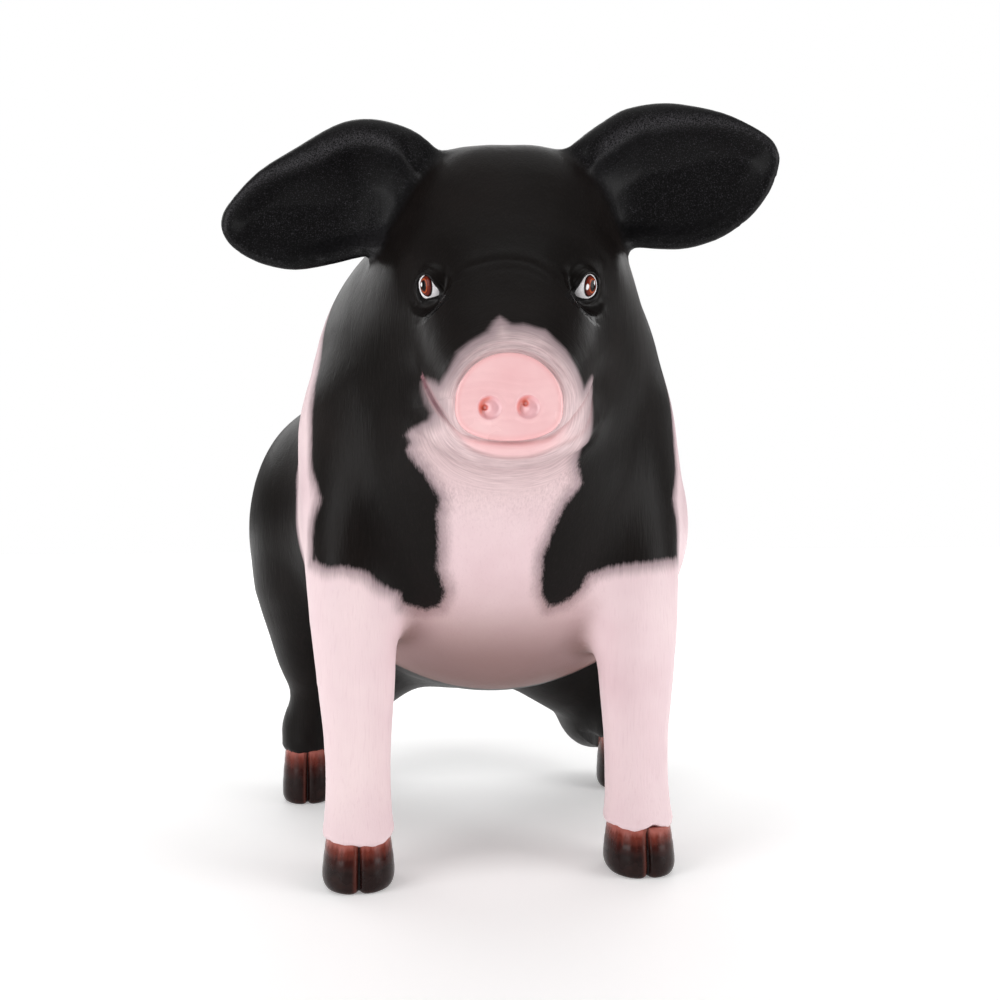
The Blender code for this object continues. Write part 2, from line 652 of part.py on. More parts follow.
def snout_disc(where):
    """The flat disc at the muzzle's end, wider below than above."""
    bm = bmesh.new()
    n = 36
    base = DISC_W - 0.0100 + GAP
    levels = [(base, 0.985), (base + 0.0080, 1.0), (base + 0.0115, 0.95)]
    loops = []
    for w, grow in levels:
        ring = bmesh.ops.create_circle(bm, cap_ends=False, segments=n, radius=1.0)["verts"]
        for k, v in enumerate(ring):
            u, h = disc_edge(2 * math.pi * k / n)
            v.co = Vector(from_head(u * grow, w, DISC_H + h * grow))
        inside = set(ring)
        bm.edges.ensure_lookup_table()
        loops.append([e for e in bm.edges if e.verts[0] in inside and e.verts[1] in inside])
    for lo, hi in zip(loops[:-1], loops[1:]):
        bmesh.ops.bridge_loops(bm, edges=lo + hi)
    bmesh.ops.holes_fill(bm, edges=loops[0] + loops[-1], sides=0)
    bmesh.ops.recalc_face_normals(bm, faces=bm.faces)
    bmesh.ops.triangulate(bm, faces=bm.faces)
    ob = add("snout_disc", bm, where)
    ob.data.materials.append(paint("snout_disc_paint", SNOUT, 0.20))
    return ob


def ball(name, centre, radius, where):
    bm = bmesh.new()
    bmesh.ops.create_uvsphere(bm, u_segments=16, v_segments=9, radius=radius, matrix=Matrix.Translation(Vector(centre)))
    bmesh.ops.triangulate(bm, faces=bm.faces)
    return add(name, bm, where)


# ------------------------------------------------------------------ build
def main():
    clear()
    parts, cutters = collection("sitting_pig"), collection("cutters")
    body = add("trunk", stock(), parts)
    for i in range(2):
        remesh(body, VOXEL)
        settle(body, lambda p: pig_volume(p, 0.020), 3)
    smooth_mesh(body, 0.5, 3)
    thin(body, BODY_TRIS)

    # the feet end at the coronets, where the hooves begin
    for s in (1, -1):
        for spec in (HOOF_FORE, HOOF_HIND):
            x, y = spec["at"]
            x += foot_out(spec, s)
            back = 0.060 if spec is HOOF_FORE else 0.0365
            b = box("foot_cut", (s * x - 0.05, y - 0.06, -0.02), (s * x + 0.05, y + back, spec["high"] + GAP), cutters)
            cut(body, b, "DIFFERENCE")
    # the muzzle is trimmed flat behind the disc
    flat = prism("muzzle_cut", [(DISC_W - 0.0100, 0.30), (0.30, 0.30), (0.30, 0.60), (DISC_W - 0.0100, 0.60)], 0.10,
                 cutters, head=True)
    cut(body, flat, "DIFFERENCE")

    eyes = []
    for side, s in (("right", -1), ("left", 1)):
        c = from_head(s * EYE_U, EYE_W, EYE_H)
        eyes.append(ball("eye_" + side, c, EYE_R, parts))
        cut(body, hide(ball("eye_cut_" + side, c, EYE_R + GAP, cutters)), "DIFFERENCE")

    pieces = []
    for side, ear in EARS.items():
        o, along, across, fore = ear_axes(ear)
        piece = add("ear_" + side, lay_ear(bmesh.new(), ear, 1.0), parts)
        remesh(piece, 0.0040)
        settle(piece, lambda p: ear_volume(p, ear), 3)
        remesh(piece, 0.0034)
        settle(piece, lambda p: ear_volume(p, ear), 3)
        smooth_mesh(piece, 0.5, 2)
        thin(piece, EAR_TRIS)
        trim(piece, o + along * (EAR_CUT + GAP), -along)
        pieces.append(piece)
        bm = bmesh.new()
        bmesh.ops.create_cube(bm, size=1.0)
        for v in bm.verts:
            v.co = Vector(o + along * (EAR_CUT + (v.co.x + 0.5) * 0.05) + across * (0.01 + v.co.y * 0.15)
                          + fore * (-0.005 + v.co.z * 0.10))
        bmesh.ops.recalc_face_normals(bm, faces=bm.faces)
        cut(body, hide(add("ear_cut_" + side, bm, cutters)), "DIFFERENCE")
    head = prism("head_cut", [(-0.095, 0.85), (0.30, 0.85), (0.30, 0.34), (0.10, 0.372), (-0.005, 0.420)], 0.35,
                 cutters, head=True)
    pieces.append(part_off(body, head, "head", parts, cutters))
    neck = prism("neck_cut", [(-0.40, 0.85), (0.075, 0.85), (-0.015, 0.500), (-0.125, 0.392), (-0.40, 0.36)], 0.35,
                 cutters)
    pieces.append(part_off(body, neck, "neck", parts, cutters))
    for side, s in (("right", -1), ("left", 1)):
        bm = bmesh.new()
        oval(bm, (s * 0.141, -0.060, 0.300), (0.068, 0.088, 0.075), detail=3)
        r = spline(FORELEG[1:], 3)
        for row in r:
            wide = 1.28 if row[2] > 0.27 else 1.45
            oval(bm, (s * row[0] + (LEFT_OUT if s > 0 else 0.0), row[1], row[2]), (row[3] * wide, row[4] * wide, 0.035), detail=2)
        c = add("foreleg_cut_" + side, bm, cutters)
        remesh(c, 0.010)
        smooth_mesh(c, 0.5, 6)
        thin(c, 200)
        pieces.append(part_off(body, hide(c), "foreleg_" + side, parts, cutters))
        bm = bmesh.new()
        oval(bm, (s * 0.185, 0.165, 0.310), (0.120, 0.140, 0.168), detail=3)
        oval(bm, (s * 0.174, 0.198, 0.102), (0.124, 0.136, 0.122), detail=3)
        c = add("hindleg_cut_" + side, bm, cutters)
        remesh(c, 0.014)
        smooth_mesh(c, 0.5, 4)
        thin(c, 220)
        pieces.append(part_off(body, hide(c), "hindleg_" + side, parts, cutters))
    tail = bmesh.new()
    strand(tail, TAIL)
    tail = add("tail", tail, parts)
    remesh(tail, 0.0030)
    smooth_mesh(tail, 0.5, 4)
    thin(tail, TAIL_TRIS)
    cut(tail, grown(body, GAP, cutters), "DIFFERENCE")
    pieces.append(tail)

    pieces.append(body)
    for ob in pieces:
        tidy(ob)
    for ob in pieces:
        ob.data.materials.clear()
        colour = PINK if ob.name.startswith("foreleg") else BLACK
        ob.data.materials.append(paint(ob.name + "_paint", colour, 0.42))
    for ob in eyes:
        ob.data.materials.append(paint(ob.name + "_paint", EYE, 0.08))
        for p in ob.data.polygons:
            p.use_smooth = True
    pieces += eyes
    pieces.append(snout_disc(parts))
    for side, s in (("right", -1), ("left", 1)):
        pieces.append(hoof("fore_hoof_" + side, HOOF_FORE, s, parts))
        pieces.append(hoof("hind_hoof_" + side, HOOF_HIND, s, parts))

    # stand the whole on the middle of its own footprint
    lo = np.min([np.min([v.co for v in ob.data.vertices], axis=0) for ob in pieces], axis=0)
    hi = np.max([np.max([v.co for v in ob.data.vertices], axis=0) for ob in pieces], axis=0)
    shift = Vector((-(lo[0] + hi[0]) / 2, -(lo[1] + hi[1]) / 2, 0.0))
    for ob in pieces:
        ob.data.transform(Matrix.Translation(shift))
    print("SHIFT", tuple(round(v, 6) for v in shift), "SIZE", tuple(np.round(hi - lo, 4)))
    print("TRIS", sum(len(ob.data.polygons) for ob in pieces))


main()
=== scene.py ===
import math

import bmesh
import bpy
import numpy as np
from mathutils import Matrix, Vector


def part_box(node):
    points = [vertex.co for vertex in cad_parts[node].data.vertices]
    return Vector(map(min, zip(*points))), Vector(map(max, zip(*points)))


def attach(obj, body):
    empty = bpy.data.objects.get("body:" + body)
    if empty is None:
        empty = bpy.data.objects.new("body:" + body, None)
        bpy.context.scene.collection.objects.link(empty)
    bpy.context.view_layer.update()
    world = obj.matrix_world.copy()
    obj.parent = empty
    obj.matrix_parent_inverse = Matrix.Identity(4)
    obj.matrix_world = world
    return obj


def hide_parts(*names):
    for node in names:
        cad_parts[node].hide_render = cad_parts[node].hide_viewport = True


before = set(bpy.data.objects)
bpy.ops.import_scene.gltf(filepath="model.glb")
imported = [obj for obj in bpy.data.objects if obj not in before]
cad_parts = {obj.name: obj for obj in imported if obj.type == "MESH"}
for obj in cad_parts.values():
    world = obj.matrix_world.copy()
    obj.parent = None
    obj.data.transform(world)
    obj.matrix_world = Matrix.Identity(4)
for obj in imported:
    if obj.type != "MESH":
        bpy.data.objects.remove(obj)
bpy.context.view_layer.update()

# A life-size painted cast of a sitting young pig. The shape functions are the
# ones the solids come from; the skin is one closed mesh over them, with the
# lids, lips, folds and wrinkles worked into it, and the paint on top.

# ---------------------------------------------------------------- sizes
# Working frame: the pig faces -Y, its left is +X, the floor is Z = 0.
HEAD_AT = np.array([0.008, -0.132, 0.550])   # middle of the head
HEAD_TURN = math.radians(8.5)                # head turned to the pig's right
LEFT_OUT = 0.005                             # its left feet stand a little further out
HIND_OUT = 0.010                             # and the left hind foot more so
LEG_X = 0.132                                # forelegs, each side of the middle
HIND_X = 0.186                               # hind feet
EYE_U, EYE_W, EYE_H, EYE_R = 0.0637, 0.0804, -0.0055, 0.0150
DISC_W, DISC_H = 0.186, -0.1127              # snout disc: forward, and height
DISC_RU, DISC_RH = 0.0424, 0.0345
FORE_CORONET, HIND_CORONET = 0.0435, 0.0600

# Head axes in the working frame: sideways (pig's left), forward, up.
HU = np.array([math.cos(HEAD_TURN), -math.sin(HEAD_TURN), 0.0])
HF = np.array([-math.sin(HEAD_TURN), -math.cos(HEAD_TURN), 0.0])
HZ = np.array([0.0, 0.0, 1.0])


def from_head(u, w, h):
    """A point given sideways, forward and up from the head's middle."""
    return HEAD_AT + HU * u + HF * w + HZ * h


def to_head(p):
    d = p - HEAD_AT
    return np.stack([d @ HU, d @ HF, d @ HZ], axis=1)


# ------------------------------------------------------- rounded volumes
def smin(a, b, k):
    """Smaller of two distances, with a fillet of about k."""
    h = np.maximum(k - np.abs(a - b), 0.0) / k
    return np.minimum(a, b) - h * h * k * 0.25


def smax(a, b, k):
    return -smin(-a, -b, k)


def ellipsoid(p, c, r, pitch=0.0, yaw=0.0):
    """First-order distance to an ellipsoid; pitch turns it about X."""
    d = p - np.array(c)
    if pitch:
        s, k = math.sin(pitch), math.cos(pitch)
        d = np.stack([d[:, 0], d[:, 1] * k + d[:, 2] * s, -d[:, 1] * s + d[:, 2] * k], axis=1)
    if yaw:
        s, k = math.sin(yaw), math.cos(yaw)
        d = np.stack([d[:, 0] * k + d[:, 1] * s, -d[:, 0] * s + d[:, 1] * k, d[:, 2]], axis=1)
    r = np.array(r)
    q = np.sqrt(((d / r) ** 2).sum(1))
    g = np.sqrt(((d / (r * r)) ** 2).sum(1))
    return q * (q - 1.0) / np.maximum(g, 1e-6)


def spline(rows, steps):
    """Smooth rows between the named stations (Catmull-Rom)."""
    r = np.array(rows, float)
    e = np.vstack([2 * r[0] - r[1], r, 2 * r[-1] - r[-2]])
    out = []
    for i in range(1, len(e) - 2):
        for j in range(steps):
            t = j / steps
            out.append(0.5 * (2 * e[i] + (e[i + 1] - e[i - 1]) * t
                              + (2 * e[i - 1] - 5 * e[i] + 4 * e[i + 1] - e[i + 2]) * t * t
                              + (-e[i - 1] + 3 * e[i] - 3 * e[i + 1] + e[i + 2]) * t ** 3))
    out.append(r[-1])
    return np.array(out)


def limb_near(p, rows, side=(1.0, 0.0, 0.0), steps=4, power=2.0):
    """Distance to a limb of oval sections: x, y, z, half width, half depth."""
    r = spline(rows, steps)
    side = np.array(side, float)
    best = None
    for a, b in zip(r[:-1], r[1:]):
        w = b[:3] - a[:3]
        length = np.linalg.norm(w)
        w = w / length
        u = side - w * (side @ w)
        u = u / np.linalg.norm(u)
        v = np.cross(w, u)
        d = p - a[:3]
        s = d @ w
        t = np.clip(s / length, 0.0, 1.0)
        du, dv, dw = d @ u, d @ v, s - t * length
        ru = a[3] + (b[3] - a[3]) * t
        rv = a[4] + (b[4] - a[4]) * t
        rm = np.sqrt(ru * rv)
        if power == 2.0:
            q = np.sqrt((du / ru) ** 2 + (dv / rv) ** 2 + (dw / rm) ** 2)
        else:
            q = ((np.abs(du) / ru) ** power + (np.abs(dv) / rv) ** power
                 + (np.abs(dw) / rm) ** power) ** (1.0 / power)
        g = np.sqrt((du / ru ** 2) ** 2 + (dv / rv ** 2) ** 2 + (dw / rm ** 2) ** 2)
        q2 = np.sqrt((du / ru) ** 2 + (dv / rv) ** 2 + (dw / rm) ** 2)
        f = q2 * (q - 1.0) / np.maximum(g, 1e-6)
        best = f if best is None else np.minimum(best, f)
    return best


# -------------------------------------------------------------- the ears
# Each ear: where its root's middle is on the head, how far its tip is
# raised, and its outline from the front edge of the root, over the top, to
# the tip and back along the lower edge (out along the ear, across it).
EARS = {
    "right": dict(sign=-1.0, root=(-0.0885, -0.006, 0.0912), lift=-6.0, sweep=6.0, tip=8,
                  edge=[(-0.030, 0.040), (-0.012, 0.064), (0.014, 0.079), (0.041, 0.086),
                        (0.069, 0.083), (0.107, 0.0665), (0.147, 0.0465), (0.180, 0.0165),
                        (0.1875, -0.001), (0.182, -0.018), (0.168, -0.032), (0.148, -0.043),
                        (0.122, -0.050), (0.092, -0.049), (0.058, -0.045), (0.024, -0.044),
                        (-0.010, -0.040), (-0.035, -0.010), (-0.038, 0.015)]),
    "left": dict(sign=1.0, root=(0.0855, -0.006, 0.0922), lift=15.0, sweep=6.0, tip=10,
                 edge=[(-0.020, 0.050), (-0.003, 0.061), (0.020, 0.0706), (0.0436, 0.078),
                       (0.0634, 0.0786), (0.0863, 0.0754), (0.1087, 0.0674), (0.1374, 0.0529),
                       (0.1618, 0.0335), (0.1769, 0.0167), (0.1811, 0.0027), (0.179, -0.0086),
                       (0.1695, -0.0257), (0.151, -0.0434), (0.130, -0.0555), (0.1033, -0.0632),
                       (0.0735, -0.064), (0.0503, -0.0588), (0.0285, -0.052), (0.0142, -0.050),
                       (-0.012, -0.044), (-0.035, -0.012), (-0.036, 0.020)]),
}
EAR_HALF = 0.0058        # half the ear's thickness
EAR_DISH = 0.0235         # how deep the ear is dished
EAR_ROLL = 0.0095        # how far its rolled upper rim stands forward


def ear_axes(ear):
    """Origin and axes of an ear: along it to the tip, across it, forward."""
    lift, sweep = math.radians(ear["lift"]), math.radians(ear["sweep"])
    side = HU * ear["sign"]
    along = side * math.cos(lift) * math.cos(sweep) + HZ * math.sin(lift) - HF * math.cos(lift) * math.sin(sweep)
    fore = HF * math.cos(sweep) + side * math.sin(sweep)
    across = np.cross(fore, along) * -ear["sign"]
    if across[2] < 0:
        across = -across
    return from_head(*ear["root"]), along, across, fore


def loop(points, steps):
    """A closed smooth loop through the outline's points."""
    q = np.array(points, float)
    n = len(q)
    out = []
    for i in range(n):
        a, b, c, d = q[i - 1], q[i], q[(i + 1) % n], q[(i + 2) % n]
        for j in range(steps):
            t = j / steps
            out.append(0.5 * (2 * b + (c - a) * t + (2 * a - 5 * b + 4 * c - d) * t * t
                              + (-a + 3 * b - 3 * c + d) * t ** 3))
    return np.array(out)


def outline_distance(a, b, edge):
    """Signed distance in the ear's plane to its outline, negative inside."""
    best = np.full(len(a), 1e9)
    inside = np.zeros(len(a), bool)
    for (x0, y0), (x1, y1) in zip(edge, np.roll(edge, -1, axis=0)):
        ex, ey = x1 - x0, y1 - y0
        wx, wy = a - x0, b - y0
        t = np.clip((wx * ex + wy * ey) / (ex * ex + ey * ey), 0.0, 1.0)
        best = np.minimum(best, (wx - ex * t) ** 2 + (wy - ey * t) ** 2)
        cross = ((y0 > b) != (y1 > b))
        with np.errstate(divide="ignore", invalid="ignore"):
            xi = x0 + (b - y0) * ex / (ey if abs(ey) > 1e-12 else 1e-12)
        inside ^= cross & (a < xi)
    best = np.sqrt(best)
    return np.where(inside, -best, best)


def ear_top(a, b, ear):
    """Distance in the ear's plane to its upper edge."""
    top = spline(np.array(ear["edge"])[0:ear["tip"] + 1], 3)
    best = np.full(len(a), 1e9)
    for (x0, y0), (x1, y1) in zip(top[:-1], top[1:]):
        ex, ey = x1 - x0, y1 - y0
        wx, wy = a - x0, b - y0
        t = np.clip((wx * ex + wy * ey) / (ex * ex + ey * ey), 0.0, 1.0)
        best = np.minimum(best, (wx - ex * t) ** 2 + (wy - ey * t) ** 2)
    return np.sqrt(best)


def ear_band(a):
    """Width of the broad rolled upper rim, narrowing to the tip."""
    t = np.clip((a - 0.060) / 0.120, 0.0, 1.0)
    return 0.047 - 0.031 * t * t * (3 - 2 * t)


def ear_mid(a, b, ear, d2=None, top=None):
    """How far forward the ear's middle surface lies: a broad rolled upper
    rim, and below it a dish that runs out smooth to the lower edge."""
    if d2 is None:
        d2, top = outline_distance(a, b, loop(ear["edge"], 3)), ear_top(a, b, ear)
    s = top / ear_band(a)
    size = (ear_band(a) / 0.047) ** 0.9
    out = np.clip(a / 0.18, 0.0, 1.0)
    t = np.clip((a + 0.020) / 0.024, 0.0, 1.0)
    u = np.clip((ear["edge"][ear["tip"]][0] + 0.006 - a) / 0.045, 0.0, 1.0)
    x = np.clip(1.0 - ((s - 0.54) / np.where(s < 0.54, 0.58, 0.80)) ** 2, 0.0, 1.0)
    ridge = x * x * (3 - 2 * x) * size * t * t * (3 - 2 * t) * u * u * (3 - 2 * u)
    x = np.maximum(s - 0.58, 0.0)
    y = np.clip((top - 1.1 * ear_band(a)) / 0.110, 0.0, 1.0)
    z = np.clip((-0.001 - d2) / 0.030, 0.0, 1.0)
    dish = (1.0 - np.exp(-(x / 0.28) ** 1.5)) * (1.0 - 0.5 * y * y * (3 - 2 * y)) * size * z * z * (3 - 2 * z)
    return 0.0015 + EAR_ROLL * ridge - EAR_DISH * dish + 0.012 * out ** 2


def ear_volume(p, ear):
    o, along, across, fore = ear_axes(ear)
    d = p - o
    a, b, n = d @ along, d @ across, d @ fore
    out = np.sqrt((a - 0.075) ** 2 + (b - 0.012) ** 2 + n ** 2) - 0.13
    near = out < 0.03
    if not near.any():
        return out
    a, b, n = a[near], b[near], n[near]
    d2 = outline_distance(a, b, loop(ear["edge"], 3))
    top = ear_top(a, b, ear)
    mid = ear_mid(a, b, ear, d2, top)
    half = EAR_HALF * (1.0 + 0.40 * np.exp(-((top / ear_band(a) - 0.45) / 0.42) ** 2))
    f = np.sqrt(np.maximum(d2 + half, 0.0) ** 2 + (0.82 * (n - mid)) ** 2) - half
    # fleshy root
    root = limb(np.stack([a, b, n], axis=1),
                [(-0.040, 0.000, -0.020, 0.028, 0.050), (-0.005, 0.005, -0.020, 0.017, 0.047),
                 (0.030, 0.008, -0.026, 0.006, 0.034)], side=(0.0, 0.0, 1.0), steps=3)
    f = smin(f, root, 0.018)
    res = out.copy()
    res[near] = f
    return res


# -------------------------------------------------------------- the masses
TRUNK = [(0.007, 0.015, 0.440, 0.173, 0.200), (0.014, 0.075, 0.400, 0.191, 0.224),
         (0.008, 0.145, 0.345, 0.205, 0.198), (0.000, 0.200, 0.290, 0.186, 0.158),
         (0.000, 0.225, 0.262, 0.150, 0.128)]
NECK = [(0.006, -0.115, 0.535, 0.105, 0.110), (0.006, -0.055, 0.515, 0.135, 0.140),
        (0.006, 0.010, 0.480, 0.158, 0.175)]
FORELEG = [(0.128, -0.030, 0.420, 0.058, 0.085), (0.136, -0.070, 0.335, 0.050, 0.064),
           (0.137, -0.098, 0.260, 0.0430, 0.048), (0.1345, -0.112, 0.190, 0.0370, 0.039),
           (0.1330, -0.117, 0.130, 0.0315, 0.033), (0.1325, -0.121, 0.085, 0.0305, 0.033),
           (0.1325, -0.126, 0.052, 0.0322, 0.036), (0.1325, -0.127, 0.036, 0.0325, 0.036)]
CALF = [(0.190, 0.150, 0.250, 0.052, 0.085), (0.187, 0.152, 0.190, 0.041, 0.062),
        (0.183, 0.155, 0.140, 0.0275, 0.038), (0.185, 0.157, 0.108, 0.0255, 0.031),
        (0.188, 0.160, 0.078, 0.0272, 0.031), (0.188, 0.160, 0.050, 0.0280, 0.032)]
SHANK = [(0.187, 0.172, 0.085, 0.028, 0.027), (0.176, 0.215, 0.068, 0.031, 0.030),
         (0.164, 0.252, 0.068, 0.033, 0.034), (0.150, 0.256, 0.122, 0.040, 0.044)]
TAIL = [(0.000, 0.320, 0.352, 0.0200, 0.0200), (0.002, 0.348, 0.346, 0.0150, 0.0150),
        (0.008, 0.368, 0.330, 0.0115, 0.0115), (0.017, 0.379, 0.306, 0.0095, 0.0095),
        (0.018, 0.384, 0.280, 0.0085, 0.0085), (0.004, 0.387, 0.262, 0.0078, 0.0078),
        (-0.014, 0.385, 0.266, 0.0070, 0.0070), (-0.021, 0.381, 0.284, 0.0058, 0.0058)]


BARREL = ((0.012, 0.010, 0.415), (0.179, 0.160, 0.244))
BELLY = ((0.024, 0.045, 0.322), (0.213, 0.165, 0.162))
BRISKET = ((0.004, -0.075, 0.385), (0.115, 0.085, 0.150))
THROAT = ((0.002, -0.118, 0.402), (0.098, 0.080, 0.070))
HAUNCH = ((0.160, 0.165, 0.322), (0.097, 0.125, 0.148))
HAM = ((0.126, 0.222, 0.187), (0.076, 0.098, 0.092))
HOCK = [(0.104, 0.205, 0.196, 0.064, 0.070), (0.132, 0.206, 0.152, 0.058, 0.066), (0.164, 0.222, 0.092, 0.040, 0.042)]
# the head, in its own axes: sideways, forward, up
CROWN = ((0.034, -0.038, 0.050), (0.072, 0.100, 0.098))
CHEEK = ((0.050, -0.034, -0.042), (0.074, 0.106, 0.106))
BROW = ((0.062, 0.036, 0.020), (0.032, 0.036, 0.024))
EYE_AXIS = (0.495, 0.858, -0.139)            # where the lid opening faces, from the eyeball's middle
LID = 0.0019                                 # how far over the eyeball the head's surface lies there
FACE = [(0.0, -0.010, 0.010, 0.094, 0.080), (0.0, 0.045, -0.024, 0.084, 0.072),
        (0.0, 0.090, -0.066, 0.078, 0.062), (0.0, 0.135, -0.098, 0.0620, 0.047),
        (0.0, 0.175, -0.116, 0.0445, 0.0365)]
JAW = [(0.0, -0.040, -0.085, 0.095, 0.064), (0.0, 0.040, -0.108, 0.088, 0.052),
       (0.0, 0.095, -0.126, 0.076, 0.038), (0.0, 0.142, -0.144, 0.050, 0.021)]


def disc_edge(a):
    """The snout disc's outline: round above, wider and flatter below."""
    c, s = math.cos(a), math.sin(a)
    u = math.copysign(abs(c) ** 0.92, c) * DISC_RU * (1.0 - 0.13 * s)
    h = math.copysign(abs(s) ** (0.72 if s < 0 else 1.0), s) * DISC_RH
    return u * 0.985, h


def body_volume(p):
    """Trunk, neck, legs and tail."""
    m = np.stack([np.abs(p[:, 0]), p[:, 1], p[:, 2]], axis=1)
    f = limb(p, TRUNK, power=2.2)
    f = smin(f, ellipsoid(p, *BARREL), 0.05)
    f = smin(f, ellipsoid(p, *BELLY), 0.05)
    f = smin(f, ellipsoid(p, *BRISKET), 0.06)
    f = smin(f, limb(p, NECK), 0.06)
    f = smin(f, ellipsoid(m, *HAUNCH, pitch=0.25), 0.030)
    f = smin(f, ellipsoid(m, *HAM), 0.040)
    k = np.stack([np.abs(p[:, 0]) - np.where(p[:, 0] > 0, HIND_OUT, 0.0), p[:, 1], p[:, 2]], axis=1)
    hock = smin(smin(limb(k, CALF), limb(k, SHANK), 0.020), limb(k, HOCK), 0.030)
    f = smin(f, hock, 0.025)
    f = smin(f, ellipsoid(p, *THROAT), 0.040)
    k = np.stack([np.abs(p[:, 0]) - np.where(p[:, 0] > 0, LEFT_OUT, 0.0), p[:, 1], p[:, 2]], axis=1)
    f = smin(f, limb(k, FORELEG), 0.035)
    return smin(f, limb(p, TAIL[:2], steps=2), 0.020)


def head_volume(q):
    """The head in its own axes, without the ears."""
    m = np.stack([np.abs(q[:, 0]), q[:, 1], q[:, 2]], axis=1)
    f = ellipsoid(m, *CROWN)
    f = smin(f, ellipsoid(q, (0.0, CROWN[0][1], CROWN[0][2] + 0.002), (0.080, 0.100, 0.099)), 0.020)
    f = smin(f, ellipsoid(m, *CHEEK), 0.045)
    f = smin(f, limb(q, FACE), 0.035)
    f = smin(f, limb(q, JAW), 0.020)
    f = smin(f, ellipsoid(m, *BROW, pitch=-0.5), 0.022)
    # the face runs smoothly onto each eyeball
    e = m - np.array([EYE_U, EYE_W, EYE_H])
    fore = e @ np.array(EYE_AXIS)
    r = np.sqrt((e * e).sum(1))
    off = np.sqrt(np.maximum(r * r - fore * fore, 0.0))
    x = np.clip((0.0280 - off) / 0.0145, 0.0, 1.0)
    y = np.clip((fore + 0.004) / 0.010, 0.0, 1.0)
    w = x * x * (3 - 2 * x) * y * y * (3 - 2 * y)
    f = f * (1.0 - w) + (r - EYE_R - LID) * w
    # the muzzle ends in a flat face for the snout disc
    return smax(f, q[:, 1] - (DISC_W - 0.010), 0.010)


def pig_volume(p, ears=1.0):
    """Everything of flesh; ears is how far out along each ear it goes."""
    f = smin(body_volume(p), head_volume(to_head(p)), 0.030)
    for ear in EARS.values():
        e = ear_volume(p, ear)
        if ears < 1.0:
            o, along, across, fore = ear_axes(ear)
            e = smax(e, (p - o) @ along - ears, 0.004)
        f = smin(f, e, 0.012)
    return f


def limb(p, rows, side=(1.0, 0.0, 0.0), steps=4, power=2.0):
    """limb_near, worked out only close to the limb."""
    r = np.array(rows, float)
    reach = r[:, 3:5].max() + 0.01
    lo, hi = r[:, :3].min(0) - reach, r[:, :3].max(0) + reach
    away = np.linalg.norm(np.maximum(np.maximum(lo - p, p - hi), 0.0), axis=1)
    near = away < 0.065
    out = np.maximum(away, 0.065)
    if near.any():
        out[near] = limb_near(p[near], rows, side, steps, power)
    return out


def skin_volume(p):
    """The whole animal, tail and all."""
    return smin(pig_volume(p), limb(p, TAIL), 0.010)


# ------------------------------------------------------------ where it goes
lo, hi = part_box("eye_left")
SHIFT = np.array((lo + hi) / 2) - from_head(EYE_U, EYE_W, EYE_H)


# -------------------------------------------------------------- mesh tools
def to_object(name, bm):
    me = bpy.data.meshes.new(name)
    bm.to_mesh(me)
    bm.free()
    ob = bpy.data.objects.new(name, me)
    bpy.context.scene.collection.objects.link(ob)
    return ob


def applied(ob):
    dg = bpy.context.evaluated_depsgraph_get()
    me = bpy.data.meshes.new_from_object(ob.evaluated_get(dg))
    ob.modifiers.clear()
    old = ob.data
    ob.data = me
    bpy.data.meshes.remove(old)
    return ob


def remesh(ob, step):
    m = ob.modifiers.new("Remesh", "REMESH")
    m.mode = "VOXEL"
    m.voxel_size = step
    m.adaptivity = 0.0
    return applied(ob)


def points(me):
    co = np.empty(len(me.vertices) * 3)
    me.vertices.foreach_get("co", co)
    return co.reshape(-1, 3)


def put_points(me, co):
    me.vertices.foreach_set("co", co.ravel())
    me.update()


def normals(me):
    nn = np.empty(len(me.vertices) * 3)
    me.vertex_normals.foreach_get("vector", nn)
    return nn.reshape(-1, 3)


def edges_of(me):
    e = np.empty(len(me.edges) * 2, np.int64)
    me.edges.foreach_get("vertices", e)
    return e.reshape(-1, 2)


def settle(me, volume, along=2, down=2, where=None):
    """Move the points onto the volume's surface."""
    co = points(me)
    pick = np.arange(len(co)) if where is None else np.where(where)[0]
    for i in range(along):
        f = volume(co[pick])
        put_points(me, co)
        co[pick] -= normals(me)[pick] * np.clip(f, -0.010, 0.010)[:, None]
    e = 1e-4
    for i in range(down):
        q = co[pick]
        f = volume(q)
        g = np.stack([(volume(q + np.eye(3)[k] * e) - f) / e for k in range(3)], axis=1)
        co[pick] = q - g * np.clip(f / np.maximum((g * g).sum(1), 0.25), -0.008, 0.008)[:, None]
    put_points(me, co)


def relax(me, rounds, weight, keep=-0.53):
    """Even the surface out, without shrinking it."""
    co, e = points(me), edges_of(me)
    n = len(co)
    count = np.maximum(np.bincount(e.ravel(), minlength=n), 1)[:, None]
    for i in range(rounds):
        for k in ((0.5, keep) if keep else (0.5,)):
            s = np.empty((n, 3))
            for j in range(3):
                s[:, j] = np.bincount(e[:, 0], co[e[:, 1], j], n) + np.bincount(e[:, 1], co[e[:, 0], j], n)
            co = co + (s / count - co) * k * weight[:, None]
    put_points(me, co)


def refine(me, wanted):
    """Split the faces whose middles are wanted into four."""
    bm = bmesh.new()
    bm.from_mesh(me)
    bm.faces.ensure_lookup_table()
    mid = np.array([f.calc_center_median() for f in bm.faces])
    pick = np.where(wanted(mid))[0]
    edges = set()
    for i in pick:
        edges.update(bm.faces[i].edges)
    bmesh.ops.subdivide_edges(bm, edges=list(edges), cuts=1, use_grid_fill=True)
    bmesh.ops.triangulate(bm, faces=[f for f in bm.faces if len(f.verts) > 4])
    bm.to_mesh(me)
    bm.free()


def paint_by(me, name, values):
    a = me.attributes.new(name, "FLOAT", "POINT")
    a.data.foreach_set("value", np.asarray(values, np.float32))


